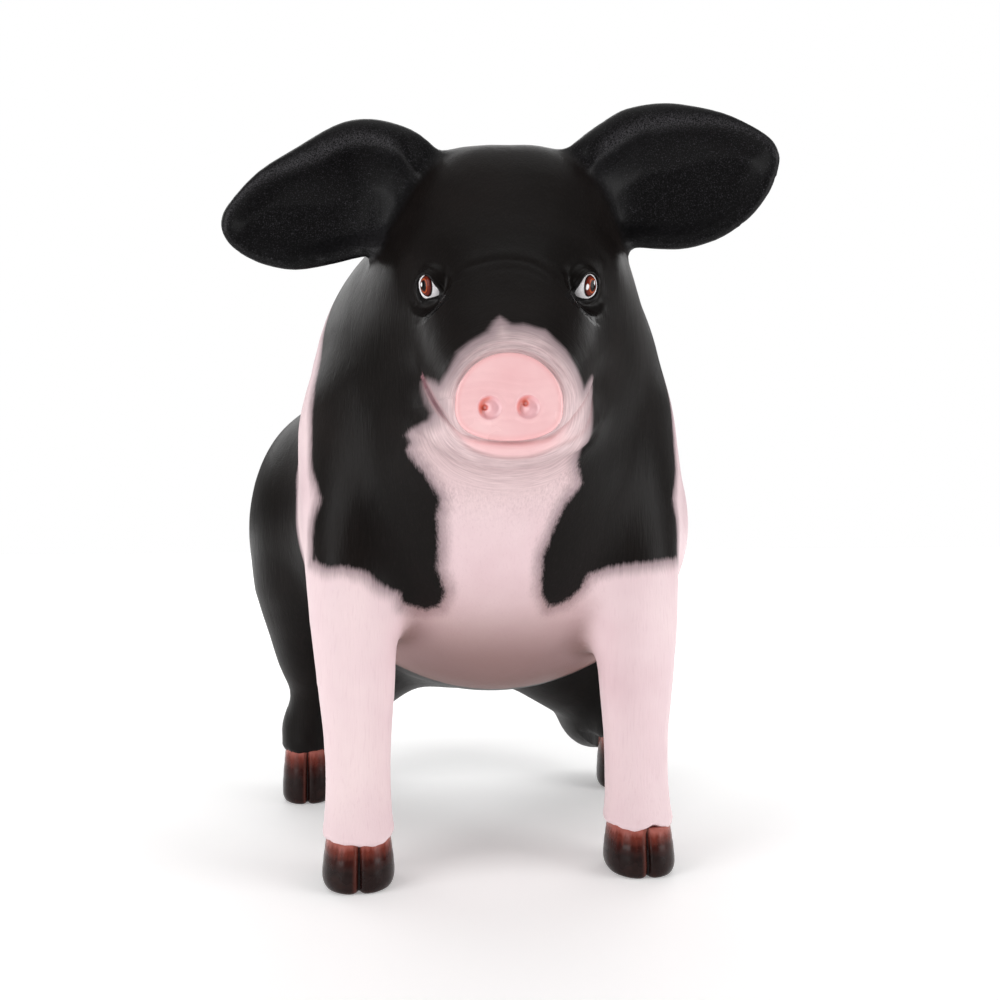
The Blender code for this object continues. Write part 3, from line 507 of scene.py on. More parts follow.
def finish_piece(ob, material, nodes):
    me = ob.data
    me.materials.clear()
    me.materials.append(material)
    me.polygons.foreach_set("use_smooth", np.ones(len(me.polygons), bool))
    me.transform(Matrix.Translation(Vector(SHIFT)))
    me.update()
    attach(ob, "root")
    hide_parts(*nodes)
    return ob


def smoothstep(lo, hi, x):
    t = np.clip((x - lo) / (hi - lo), 0.0, 1.0)
    return t * t * (3.0 - 2.0 * t)


def hump(d, width):
    return np.exp(-(d / width) ** 2)


def path_distance(p, pts):
    """Distance to a line through the points, and how far along it, 0 to 1."""
    pts = np.array(pts, float)
    best = np.full(len(p), 1e9)
    along = np.zeros(len(p))
    for i, (a, b) in enumerate(zip(pts[:-1], pts[1:])):
        w = b - a
        t = np.clip(((p - a) @ w) / max(w @ w, 1e-12), 0.0, 1.0)
        d = np.linalg.norm(p - a - t[:, None] * w, axis=1)
        m = d < best
        best[m] = d[m]
        along[m] = (i + t[m]) / (len(pts) - 1)
    return best, along


# ------------------------------------------------------------------ stock
def oval(bm, centre, radii, axes=((1, 0, 0), (0, 1, 0), (0, 0, 1)), detail=2):
    m = Matrix.Identity(4)
    for j in range(3):
        for i in range(3):
            m[i][j] = float(axes[j][i]) * radii[j]
    m.translation = Vector(centre)
    bmesh.ops.create_icosphere(bm, subdivisions=detail, radius=1.0, matrix=m)


def strand(bm, rows, mirror=False, head=False):
    r = spline(rows, 4)
    side = np.array([1.0, 0.0, 0.0])
    for i, a in enumerate(r):
        w = r[min(i + 1, len(r) - 1)][:3] - r[max(i - 1, 0)][:3]
        w /= np.linalg.norm(w)
        u = side - w * (side @ w)
        u /= np.linalg.norm(u)
        v = np.cross(w, u)
        for s in ((1, -1) if mirror else (1,)):
            flip = np.array([s, 1, 1])
            c, axes = a[:3] * flip, [u * flip, v * flip, w * flip]
            if head:
                c = from_head(*c)
                axes = [HU * x[0] + HF * x[1] + HZ * x[2] for x in axes]
            oval(bm, c, (a[3], a[4], math.sqrt(a[3] * a[4])), axes)


def stock():
    """Every mass of the animal as overlapping ovals."""
    bm = bmesh.new()
    for rows in (TRUNK, NECK, TAIL):
        strand(bm, rows)
    for rows in (FORELEG, CALF, SHANK, HOCK):
        strand(bm, rows, mirror=True)
    for c, r in (BARREL, BELLY, BRISKET, THROAT):
        oval(bm, c, r)
    for s in (1, -1):
        for c, r in (HAUNCH, HAM):
            oval(bm, (c[0] * s, c[1], c[2]), r)
        for c, r in (CROWN, CHEEK, BROW):
            oval(bm, from_head(c[0] * s, c[1], c[2]), r, (HU, HF, HZ))
    for rows in (FACE, JAW):
        strand(bm, rows[:-1], head=True)
    for ear in EARS.values():
        o, along, across, fore = ear_axes(ear)
        oval(bm, o - fore * 0.018, (0.030, 0.030, 0.030))
        edge = loop(ear["edge"], 3)
        step = 0.008
        a, b = np.meshgrid(np.arange(-0.04, 0.20, step), np.arange(-0.08, 0.10, step))
        a, b = a.ravel(), b.ravel()
        d2 = outline_distance(a, b, edge)
        mid = ear_mid(a, b, ear)
        for i in np.where(d2 < -0.004)[0]:
            oval(bm, o + along * a[i] + across * b[i] + fore * mid[i], (step,) * 3, detail=1)
    return bm


# ------------------------------------------------------------- the details
# Lid openings, seen along each eye's own axis, in millimetres at the
# eyeball's surface: toward the nose, and up.
GAZE_OUT, GAZE_UP = math.radians(30.0), math.radians(-8.0)
OPENINGS = {
    -1: [(-1.9, 7.4), (3.9, 5.0), (6.8, 2.3), (9.2, -2.0), (10.9, -6.0), (10.5, -8.2), (9.3, -10.0), (6.4, -11.2),
         (1.1, -11.9), (-5.0, -11.5), (-6.9, -9.4), (-7.4, -6.7), (-7.6, -3.6), (-7.9, 0.2), (-7.8, 3.6), (-5.6, 6.2)],
    1: [(0.2, 8.2), (-3.1, 7.6), (-5.2, 4.9), (-6.4, 0.6), (-6.8, -4.0), (-6.3, -7.2), (-4.4, -10.0), (-1.1, -12.0),
        (3.1, -12.4), (7.6, -11.6), (9.9, -10.2), (11.7, -7.6), (11.3, -4.0), (9.7, 0.1), (7.4, 4.1), (4.3, 6.9)],
}


def gaze_axes(s):
    """An eye's axes in the head: out along the gaze, toward the nose, up."""
    c, k = math.cos(GAZE_UP), math.sin(GAZE_UP)
    g = np.array([s * math.sin(GAZE_OUT) * c, math.cos(GAZE_OUT) * c, k])
    a = np.array([-s * math.cos(GAZE_OUT), math.sin(GAZE_OUT), 0.0])
    return g, a, np.cross(a, g) * s


def around_eye(q, s):
    """Distance from the eyeball's middle, and place round the gaze in metres."""
    t = q - np.array([s * EYE_U, EYE_W, EYE_H])
    r = np.linalg.norm(t, axis=1)
    g, a, b = gaze_axes(s)
    if b[2] < 0:
        b = -b
    d = t / np.maximum(r, 1e-9)[:, None]
    turn = np.arccos(np.clip(d @ g, -1.0, 1.0))
    k = turn * EYE_R / np.maximum(np.sin(turn), 1e-6)
    return r, d @ a * k, d @ b * k


def opening(s):
    """The lid opening as a smooth loop, toward the nose and up from the gaze."""
    o = np.array(OPENINGS[s]) * 0.001
    # the outline is given flat on to a gaze of 38 degrees out and level
    out = []
    y = math.radians(38.0)
    g0 = np.array([s * math.sin(y), math.cos(y), 0.0])
    a0 = np.array([-s * math.cos(y), math.sin(y), 0.0])
    for u, v in o:
        d = math.sqrt(max(EYE_R ** 2 - u * u - v * v, (0.30 * EYE_R) ** 2))
        out.append(a0 * u + np.array([0, 0, 1.0]) * v + g0 * d)
    q = np.array(out) + np.array([s * EYE_U, EYE_W, EYE_H])
    r, a, b = around_eye(q, s)
    return loop(np.stack([a, b], axis=1), 4)


OPEN_LOOP = {s: opening(s) for s in (-1, 1)}

# The mouth, from its right corner to its left: sideways, forward, up.
MOUTH = [(-0.0750, 0.1030, -0.0890), (-0.0722, 0.1080, -0.0945), (-0.0684, 0.1183, -0.1040), (-0.0569, 0.1428, -0.1236),
         (-0.0430, 0.1640, -0.1405), (-0.0330, 0.1700, -0.1480), (-0.0150, 0.1730, -0.1508), (0.0000, 0.1735, -0.1512),
         (0.0150, 0.1730, -0.1508), (0.0330, 0.1710, -0.1470), (0.0475, 0.1571, -0.1344), (0.0604, 0.1359, -0.1189),
         (0.0705, 0.1100, -0.1000), (0.0735, 0.1040, -0.0925)]
UNDERLIP = [(-0.0410, 0.1600, -0.1460), (-0.0300, 0.1690, -0.1560), (-0.0130, 0.1700, -0.1625), (0.0050, 0.1700, -0.1640),
            (0.0220, 0.1680, -0.1615), (0.0400, 0.1610, -0.1535), (0.0588, 0.1351, -0.1428), (0.0680, 0.1180, -0.1300),
            (0.0730, 0.1060, -0.1060)]
BROWFOLD = [(-0.0500, 0.1030, -0.0140), (-0.0400, 0.1050, 0.0020), (-0.0241, 0.1092, 0.0080), (-0.0050, 0.1110, 0.0112),
            (0.0150, 0.1115, 0.0095), (0.0276, 0.1105, 0.0040), (0.0390, 0.1104, -0.0055), (0.0460, 0.1130, -0.0160),
            (0.0500, 0.1170, -0.0260)]
SECOND = [(-0.0240, 0.1130, -0.0040), (-0.0050, 0.1150, 0.0010), (0.0130, 0.1150, 0.0005), (0.0290, 0.1140, -0.0070),
          (0.0380, 0.1140, -0.0150)]
JOWL = [(-0.0950, 0.0600, -0.0980), (-0.0915, 0.0640, -0.1090), (-0.0840, 0.0730, -0.1310), (-0.0690, 0.1050, -0.1430),
        (-0.0560, 0.1300, -0.1520)]
JOWL_LEFT = [(0.0900, 0.0600, -0.1000), (0.0860, 0.0700, -0.1180), (0.0770, 0.0950, -0.1370), (0.0640, 0.1250, -0.1500)]


MOUTH = [(u, w, h + 0.0042) for u, w, h in MOUTH]
UNDERLIP = [(u, w, h + 0.0036) for u, w, h in UNDERLIP]


def snap(pts):
    """Lay a line given in the head's axes on the head's surface."""
    q = spline(pts, 4)
    lo_w, hi_w = np.full(len(q), 0.0), np.full(len(q), 0.22)
    for i in range(30):
        mid = (lo_w + hi_w) / 2
        t = q.copy()
        t[:, 1] = mid
        f = skin_volume(HEAD_AT + np.outer(t[:, 0], HU) + np.outer(t[:, 1], HF) + np.outer(t[:, 2], HZ))
        inside = f < 0
        lo_w = np.where(inside, mid, lo_w)
        hi_w = np.where(inside, hi_w, mid)
    near = np.abs(lo_w - q[:, 1]) < 0.02
    q[:, 1] = np.where(near, lo_w, q[:, 1])
    return q


LINES = {k: snap(v) for k, v in (("mouth", MOUTH), ("underlip", UNDERLIP), ("brow", BROWFOLD), ("second", SECOND),
                                 ("jowl", JOWL), ("jowl_left", JOWL_LEFT))}
DISC_LOOP = np.array([disc_edge(2 * math.pi * k / 72) for k in range(72)])


def detail(q, f):
    """The fine forms of the head, on top of a distance f to its smooth skin."""
    f = f.copy()
    # folds over the brow
    i = np.where((q[:, 2] > -0.045) & (np.abs(q[:, 0]) < 0.07))[0]
    if len(i):
        p, g = q[i], f[i]
        d, t = path_distance(p, LINES["brow"])
        ends = smoothstep(0.02, 0.25, t) * smoothstep(0.98, 0.70, t)
        over = p[:, 2] - np.interp(p[:, 0], LINES["brow"][:, 0], LINES["brow"][:, 2])
        g = g + 0.0003 * hump(d, 0.0034) * ends
        g = g - 0.0006 * hump(d - 0.0070, 0.0070) * ends * (over > 0)
        d, t = path_distance(p, LINES["second"])
        f[i] = g + 0.0003 * hump(d, 0.0024) * smoothstep(0.0, 0.3, t) * smoothstep(1.0, 0.7, t)
    # wrinkles over the snout disc
    i = np.where((q[:, 2] < -0.02) & (q[:, 1] > 0.10))[0]
    if len(i):
        p, g = q[i], f[i]
        dd = outline_distance(p[:, 0], p[:, 2] - DISC_H, DISC_LOOP)
        top = smoothstep(0.0, 0.80, (p[:, 2] - DISC_H) / np.maximum(np.hypot(p[:, 0], p[:, 2] - DISC_H), 1e-6))
        front = smoothstep(0.115, 0.14, p[:, 1])
        wave = (-0.0013 * hump(dd - 0.0045, 0.0023) + 0.0008 * hump(dd - 0.0080, 0.0016)
                - 0.0007 * hump(dd - 0.0112, 0.0019) + 0.0005 * hump(dd - 0.0145, 0.0017) - 0.0003 * hump(dd - 0.018, 0.002))
        g = g + wave * top * front
        f[i] = g - 0.0006 * hump(dd - 0.0030, 0.0022) * (1.0 - top) * front * (p[:, 2] > -0.145)
    i = np.where((q[:, 2] < -0.07))[0]
    if len(i):
        p, g = q[i], f[i]
        # chin and jowls
        for key, deep in (("jowl", 0.0016), ("jowl_left", 0.0012)):
            d, t = path_distance(p, LINES[key])
            g = g + deep * hump(d, 0.0032) * smoothstep(0.0, 0.25, t) * smoothstep(1.0, 0.7, t)
        # throat wrinkles under the chin
        th = smoothstep(-0.168, -0.180, p[:, 2]) * smoothstep(-0.235, -0.205, p[:, 2]) * smoothstep(0.062, 0.040, np.abs(p[:, 0]))
        bow = p[:, 2] - 2.2 * p[:, 0] ** 2
        g = g + 0.00030 * np.sin(bow * 900.0 + 5.0 * np.sin(p[:, 0] * 30.0)) * th * smoothstep(0.03, 0.045, p[:, 1])
        # the lips
        d, t = path_distance(p, LINES["mouth"])
        du, tu = path_distance(p, LINES["underlip"])
        low = np.interp(p[:, 0], LINES["mouth"][:, 0], LINES["mouth"][:, 2])
        lip = hump(d - 0.0060, 0.0050) * (p[:, 2] < low) * smoothstep(0.0, 0.15, t) * smoothstep(1.0, 0.93, t)
        g = g - 0.0014 * lip * smoothstep(0.08, 0.12, p[:, 1])
        g = g + 0.0012 * hump(du, 0.0022) * smoothstep(0.0, 0.15, tu) * smoothstep(1.0, 0.85, tu)
        g = g - 0.0010 * hump(d - 0.0032, 0.0024) * (p[:, 2] > low) * smoothstep(0.0, 0.1, t) * smoothstep(1.0, 0.9, t)
        ends = smoothstep(-0.001, 0.03, t) * smoothstep(1.001, 0.97, t)
        g = g + (0.0024 * hump(d, 0.0015) + 0.0009 * hump(d, 0.0035)) * ends
        f[i] = g + 0.0026 * hump(d, 0.0026) * hump(t - 0.11, 0.055)
    # the lids
    for s in (-1, 1):
        near = np.linalg.norm(q - np.array([s * EYE_U, EYE_W, EYE_H]), axis=1) < 0.042
        if not near.any():
            continue
        r, a, b = around_eye(q[near], s)
        h = f[near]
        d2 = outline_distance(a, b, OPEN_LOOP[s])
        upper = smoothstep(-0.004, 0.006, b + 0.2 * a)
        inner = smoothstep(0.002, 0.010, a)
        plain = h
        h = h + 0.0009 * hump(d2 - 0.0060, 0.0014) * (0.30 + 0.70 * upper) * (1.0 - 0.5 * inner)
        h = h - 0.0006 * hump(d2 - 0.0090, 0.0026) * upper * (1.0 - 0.6 * inner)
        h = h + 0.0004 * hump(d2 - 0.0034, 0.0007) + 0.0003 * hump(d2 - 0.0080, 0.0009) * (inner + 0.5 * (1 - upper))
        h = h + 0.0002 * hump(d2 - 0.0104, 0.0012) * inner + 0.0003 * hump(d2 - 0.0120, 0.0015) * (1 - upper)
        h = plain + (h - plain) * smoothstep(0.032, 0.024, r)
        h = smax(h, -smax(d2 - 0.0002, r - (EYE_R + 0.0065), 0.002), 0.0014)
        h = smin(h, np.hypot(d2 - 0.0011, r - EYE_R - 0.0010) - 0.0011, 0.0010)
        h = smin(h, r - (EYE_R - 0.0028), 0.0004)
        f[near] = h
    return f


def eye_gap(q, s):
    """How far a point lies outside the lid opening, on the eye's own sphere."""
    r, a, b = around_eye(q, s)
    return np.where(r < 0.045, outline_distance(a, b, OPEN_LOOP[s]), 1.0)


# ---------------------------------------------------------------- the skin
def ear_near(p):
    """Distance to the nearer ear."""
    return np.minimum(*[ear_volume(p, e) for e in EARS.values()])


FEET = [(s, spec) for s in (-1, 1) for spec in ("fore", "hind")]
FOOT_AT = {"fore": (LEG_X + 0.0005, -0.1275, FORE_CORONET), "hind": (HIND_X + 0.0020, 0.1600, HIND_CORONET)}


def foot_axis(s, which):
    x, y, z = FOOT_AT[which]
    return np.array([s * x + ((HIND_OUT if which == "hind" else LEFT_OUT) if s > 0 else 0.0), y, z])


def crop_feet(me):
    """End the legs flat at the coronets."""
    bm = bmesh.new()
    bm.from_mesh(me)
    for s, which in FEET:
        c = foot_axis(s, which)
        near = [f for f in bm.faces if abs(f.calc_center_median().x - c[0]) < 0.055
                and -0.050 < f.calc_center_median().y - c[1] < (0.060 if which == "fore" else 0.036)
                and f.calc_center_median().z < c[2] + 0.03]
        geom = set(near)
        for f in near:
            geom.update(f.edges)
            geom.update(f.verts)
        bmesh.ops.bisect_plane(bm, geom=list(geom), dist=1e-5, plane_co=Vector(c), plane_no=Vector((0, 0, -1)),
                               clear_outer=True)
        rim = [e for e in bm.edges if e.is_boundary]
        bmesh.ops.holes_fill(bm, edges=rim, sides=0)
    bmesh.ops.recalc_face_normals(bm, faces=bm.faces)
    bm.to_mesh(me)
    bm.free()


def build_skin():
    ob = to_object("skin", stock())
    remesh(ob, 0.0078)
    settle(ob.data, skin_volume, 2, 1)
    remesh(ob, 0.0071)
    settle(ob.data, skin_volume, 2, 2)
    me = ob.data
    co = points(me)
    plain = smoothstep(0.006, 0.020, ear_near(co)) * smoothstep(0.004, 0.02, limb(co, TAIL[2:]))
    relax(me, 24, plain)
    # finer over the head, the ears, the tail and the pasterns
    def first(p):
        q = to_head(p)
        return ((q[:, 1] > 0.045) & (q[:, 2] > -0.19) & (np.abs(q[:, 0]) < 0.085)) | (ear_near(p) < 0.004) \
            | (limb(p, TAIL[1:]) < 0.006) | (p[:, 2] < 0.062)
    refine(me, first)
    co = points(me)
    e = ear_near(co)
    settle(me, skin_volume, 0, 2, where=(e < 0.002) | (limb(co, TAIL[1:]) < 0.002))
    relax(me, 3, np.where(e < 0.002, 0.5, 1.0))

    def second(p):
        q = to_head(p)
        dd = outline_distance(q[:, 0], q[:, 2] - DISC_H, DISC_LOOP)
        m = (q[:, 1] > 0.14) & (q[:, 2] > -0.165) & (dd < 0.022) & (dd > -0.004)
        m |= path_distance(q, LINES["mouth"])[0] < 0.011
        m |= path_distance(q, LINES["brow"])[0] < 0.007
        for s in (-1, 1):
            m |= eye_gap(q, s) < 0.014
        return m

    def third(p):
        q = to_head(p)
        m = path_distance(q, LINES["mouth"])[0] < 0.0045
        dd = outline_distance(q[:, 0], q[:, 2] - DISC_H, DISC_LOOP)
        m |= (dd < 0.011) & (q[:, 1] > 0.15) & (dd > 0.001) & (q[:, 2] > DISC_H + 0.008)
        for s in (-1, 1):
            m |= (eye_gap(q, s) < 0.0085) & (eye_gap(q, s) > -0.005)
        return m

    def fourth(p):
        q = to_head(p)
        m = np.zeros(len(p), bool)
        for s in (-1, 1):
            m |= np.abs(eye_gap(q, s) - 0.0002) < 0.0027
        return m

    for wanted in (second, third, fourth):
        refine(me, wanted)
        relax(me, 2, np.where(wanted(points(me)), 1.0, 0.0))
        near = to_head(points(me))
        near[:, 0] = np.abs(near[:, 0])
        near = np.sqrt(((near - np.array([EYE_U, EYE_W, EYE_H])) ** 2).sum(1))
        settle(me, skin_volume, 0, 2, where=near < 0.040)
    # soften the hollow round each eye, outside the lids
    relax(me, 22, 0.9 * smoothstep(0.0190, 0.0230, near) * smoothstep(0.048, 0.036, near), 0.0)

    # the fine forms, laid on along the smooth skin's own normals
    crop_feet(me)
    co, nn = points(me), normals(me)
    q = to_head(co)
    pick = np.where((q[:, 1] > 0.02) & (q[:, 2] > -0.24) & (np.abs(q[:, 0]) < 0.115) & (q[:, 2] < 0.06))[0]
    base, way = co[pick], nn[pick]
    t = np.zeros(len(pick))
    for i in range(9):
        here = base + way * t[:, None]
        t = np.clip(t - np.clip(detail(to_head(here), t), -0.004, 0.004) * 0.9, -0.012, 0.014)
    here = base + way * t[:, None]
    # let the points by the lids slide onto the rims
    e = 5e-5
    for i in range(2):
        height = lambda p: ((p - base) * way).sum(1)
        f = detail(to_head(here), height(here))
        g = np.stack([(detail(to_head(here + np.eye(3)[k] * e), height(here + np.eye(3)[k] * e)) - f) / e
                      for k in range(3)], axis=1)
        here = here - g * np.clip(f / np.maximum((g * g).sum(1), 0.5), -0.001, 0.001)[:, None]
    co[pick] = here
    put_points(me, co)
    q = to_head(points(me))
    soft = np.zeros(len(co))
    for s in (-1, 1):
        soft = np.maximum(soft, np.where(np.abs(eye_gap(q, s)) < 0.0045, 0.8, 0.0))
    relax(me, 2, soft)
    # soft rounded cuffs over the hooves
    co = points(me)
    for s, which in FEET:
        c = foot_axis(s, which)
        d = co - c
        rise = d[:, 2]
        r = np.hypot(d[:, 0], d[:, 1])
        near = (np.abs(d[:, 0]) < 0.055) & (d[:, 1] > -0.05) & (d[:, 1] < (0.06 if which == "fore" else 0.036)) & (rise < 0.020)
        a = np.arctan2(d[:, 1], d[:, 0] * s)
        bend = 0.0052
        k = np.clip(1.0 - rise / bend, 0.0, 1.0)
        pull = bend * (1.0 - np.sqrt(np.maximum(1.0 - k * k, 0.0)))
        swell = 0.0010 * hump(rise - 0.006, 0.006)
        scale = np.where(near, 1.0 + (swell - pull) / np.maximum(r, 0.005), 1.0)
        co[:, 0] = np.where(near, c[0] + d[:, 0] * scale, co[:, 0])
        co[:, 1] = np.where(near, c[1] + d[:, 1] * scale, co[:, 1])
        wavy = 0.0009 * np.sin(2 * a + 0.7 + s) + 0.0007 * np.sin(5 * a + 1.9 * s) + 0.0004 * np.sin(17 * a)
        if which == "fore":
            wavy = wavy + (0.0052 * hump(a + 1.40, 0.30) if s > 0 else -0.0052 * hump(a + 2.00, 0.45))
        co[:, 2] = np.where(near, co[:, 2] + wavy * smoothstep(0.020, 0.0, rise), co[:, 2])
    put_points(me, co)
    return ob


# ------------------------------------------------------------- the markings
# The edge of the black seen from the front: sideways and up. What lies
# inside is white: muzzle, throat, chest, belly and the lower forelegs.
FRONT = [(-0.0799, 0.4595), (-0.0795, 0.4490), (-0.0775, 0.4385), (-0.0745, 0.4290), (-0.0765, 0.4240), (-0.0890, 0.4200),
         (-0.0915, 0.4150), (-0.0880, 0.4080), (-0.0908, 0.4011), (-0.0751, 0.3803),
         (-0.0615, 0.3579), (-0.0625, 0.3407), (-0.0600, 0.3150), (-0.0606, 0.2920), (-0.0516, 0.2719), (-0.0570, 0.2560),
         (-0.0700, 0.2530), (-0.0897, 0.2580), (-0.0940, 0.2700), (-0.1110, 0.2778), (-0.1258, 0.2913), (-0.1432, 0.2961),
         (-0.1625, 0.2948), (-0.1728, 0.3008), (-0.2000, 0.3030), (-0.3500, 0.3000), (-0.3500, -0.1000), (0.3500, -0.1000),
         (0.3500, 0.3050), (0.2000, 0.3040), (0.1746, 0.3000), (0.1355, 0.2974), (0.1043, 0.2928), (0.0844, 0.2864),
         (0.0790, 0.2740), (0.0652, 0.2600), (0.0472, 0.2551), (0.0384, 0.2704), (0.0373, 0.3060), (0.0480, 0.3378),
         (0.0551, 0.3543), (0.0699, 0.3707), (0.0613, 0.3928), (0.0605, 0.4097), (0.0632, 0.4360), (0.0622, 0.4600),
         (0.0590, 0.4610), (0.0477, 0.4480), (0.0402, 0.4616), (0.0302, 0.4775), (0.0147, 0.4938), (-0.0040, 0.4985),
         (-0.0131, 0.4975), (-0.0215, 0.5056), (-0.0270, 0.5010), (-0.0331, 0.4912), (-0.0470, 0.4830), (-0.0569, 0.4751),
         (-0.0645, 0.4593), (-0.0707, 0.4500), (-0.0740, 0.4540)]
# The saddle band seen from the side: height, front edge, rear edge.
BAND = [(0.10, -0.200, -0.020), (0.16, -0.200, -0.014), (0.20, -0.150, -0.006), (0.25, -0.120, 0.004), (0.29, -0.118, 0.014),
        (0.338, -0.112, 0.026), (0.357, -0.113, 0.031), (0.386, -0.100, 0.039), (0.425, -0.088, 0.050), (0.454, -0.082, 0.058),
        (0.505, -0.052, 0.074), (0.55, -0.026, 0.090), (0.60, 0.004, 0.108), (0.66, 0.036, 0.130), (0.75, 0.080, 0.160)]


def markings(p):
    """Distance into the white paint, negative in the black."""
    front = -outline_distance(p[:, 0], p[:, 2], np.array(FRONT))
    # the lower jaw's shadowed underside and the nose bridge belong to the front
    band = np.array(BAND)
    fore = np.interp(p[:, 2], band[:, 0], band[:, 1])
    rear = np.interp(p[:, 2], band[:, 0], band[:, 2])
    lean = 0.86
    y = p[:, 1]
    wobble = 0.0022 * np.sin(p[:, 2] * 47.0 + 1.0) + 0.0014 * np.sin(p[:, 2] * 101.0)
    saddle = np.minimum((y - fore - wobble) * lean, (rear + wobble - y) * lean)
    # the front pattern does not reach round behind
    front = np.minimum(front, (rear + wobble - y) * lean)
    # nor up the flank, where only the band is white
    return np.maximum(front, saddle)


def dress(ob):
    """The attributes that the paint reads, one value a point."""
    me = ob.data
    co = points(me)
    q = to_head(co)
    paint_by(me, "white", markings(co))
    e = ear_near(co)
    paint_by(me, "ear", smoothstep(0.010, -0.001, e))
    # rim: where the ears get a painted highlight in lighter grey, along each rolled crest and on a round patch on the
    # right ear
    rim = np.zeros(len(co))
    for ear in EARS.values():
        o, way, over, fore = ear_axes(ear)
        i = np.where((ear_volume(co, ear) < 0.003) & (normals(me) @ fore > 0.0))[0]
        a, b = (co[i] - o) @ way, (co[i] - o) @ over
        s = ear_top(a, b, ear) / ear_band(a) - 0.52
        rim[i] = np.where(s < 0, hump(s, 0.17), hump(s, 0.10)) * smoothstep(0.0, 0.02, a)
        if ear["sign"] < 0:
            rim[i] = np.maximum(rim[i], 0.55 * hump(np.hypot(a - 0.044, b + 0.030), 0.024))
    paint_by(me, "rim", rim)
    head = (q[:, 1] > 0.0) & (q[:, 2] > -0.24)
    lip, crease, gum = np.zeros(len(co)), np.zeros(len(co)), np.zeros(len(co))
    i = np.where(head & (q[:, 1] > 0.06) & (q[:, 2] < -0.05))[0]
    d, t = path_distance(q[i], LINES["mouth"])
    du, tu = path_distance(q[i], LINES["underlip"])
    low = np.interp(q[i, 0], LINES["mouth"][:, 0], LINES["mouth"][:, 2])
    under = np.interp(q[i, 0], LINES["underlip"][:, 0], LINES["underlip"][:, 2])
    between = smoothstep(0.0008, -0.0012, q[i, 2] - low) * smoothstep(-0.0015, 0.0030, q[i, 2] - under)
    lip[i] = between * smoothstep(-0.050, -0.028, q[i, 0]) * smoothstep(0.060, 0.030, q[i, 0])
    # painted shade: crease darkens the paint along the mouth line, under the lower lip, in a thin line by the mouth
    # toward its right corner, and faintly along the brow fold
    crease[i] = np.maximum(hump(d, 0.0014), 0.50 * hump(du, 0.0020))
    flat, line = q[i] * np.array([1.0, 0.0, 1.0]), LINES["mouth"] * np.array([1.0, 0.0, 1.0])
    d, t = path_distance(flat, line)
    ends = smoothstep(0.0, 0.020, t) * smoothstep(0.330, 0.200, t)
    gum[i] = smoothstep(0.0024, 0.0010, d) * ends * (q[i, 1] > 0.07)
    crease[i] = np.maximum(crease[i], hump(d - 0.0026, 0.0007) * ends * 0.6)
    j = np.where(head & (q[:, 1] > 0.06))[0]
    d, t = path_distance(q[j], LINES["brow"])
    crease[j] = np.maximum(crease[j], 0.3 * hump(d, 0.0022))
    lid = np.zeros(len(co))
    for s in (-1, 1):
        g = eye_gap(q, s)
        lid = np.maximum(lid, smoothstep(0.0022, 0.0008, g) * (g < 0.5))
    paint_by(me, "lip", lip)
    paint_by(me, "crease", crease)
    paint_by(me, "gum", gum)
    paint_by(me, "lid", lid)
    # strokes run down the legs, chest and haunches, and back along the flanks
    along = smoothstep(-0.02, 0.06, co[:, 1]) * smoothstep(0.30, 0.42, co[:, 2])
    paint_by(me, "along", np.clip(along, 0, 1))
    face = np.where(head, smoothstep(0.0, 0.05, q[:, 1]) * smoothstep(-0.238, -0.150, q[:, 2]), 0.0)
    paint_by(me, "face", face)
    dd = outline_distance(q[:, 0], q[:, 2] - DISC_H, DISC_LOOP)
    nn = normals(me)
    # painted shade: where the skin faces down, low on the trunk, the belly's underside is painted darker
    low = smoothstep(-0.10, -0.96, nn[:, 2]) * smoothstep(0.35, 0.23, co[:, 2]) * smoothstep(0.085, 0.125, co[:, 2])
    paint_by(me, "under", low)
    paint_by(me, "ring", np.where(head, dd, 0.1))
    paint_by(me, "turn", 0.045 * np.arctan2(q[:, 2] - DISC_H, q[:, 0]))
    paint_by(me, "muzzle", np.where(head & (q[:, 1] > 0.06), smoothstep(0.050, 0.030, dd), 0.0))


# ---------------------------------------------------------------- the eyes
IRIS_OUT, IRIS_UP = math.radians(32.5), math.radians(-9.5)
IRIS_WIDE, IRIS_TALL = math.radians(25.5), math.radians(38.0)
# painted catchlights: toward the nose, up, and half sizes, in degrees
GLINTS = {-1: [(-16.0, 6.0, 4.2, 7.5)], 1: [(13.5, -5.0, 5.0, 9.5), (-13.5, 11.0, 2.6, 7.5)]}


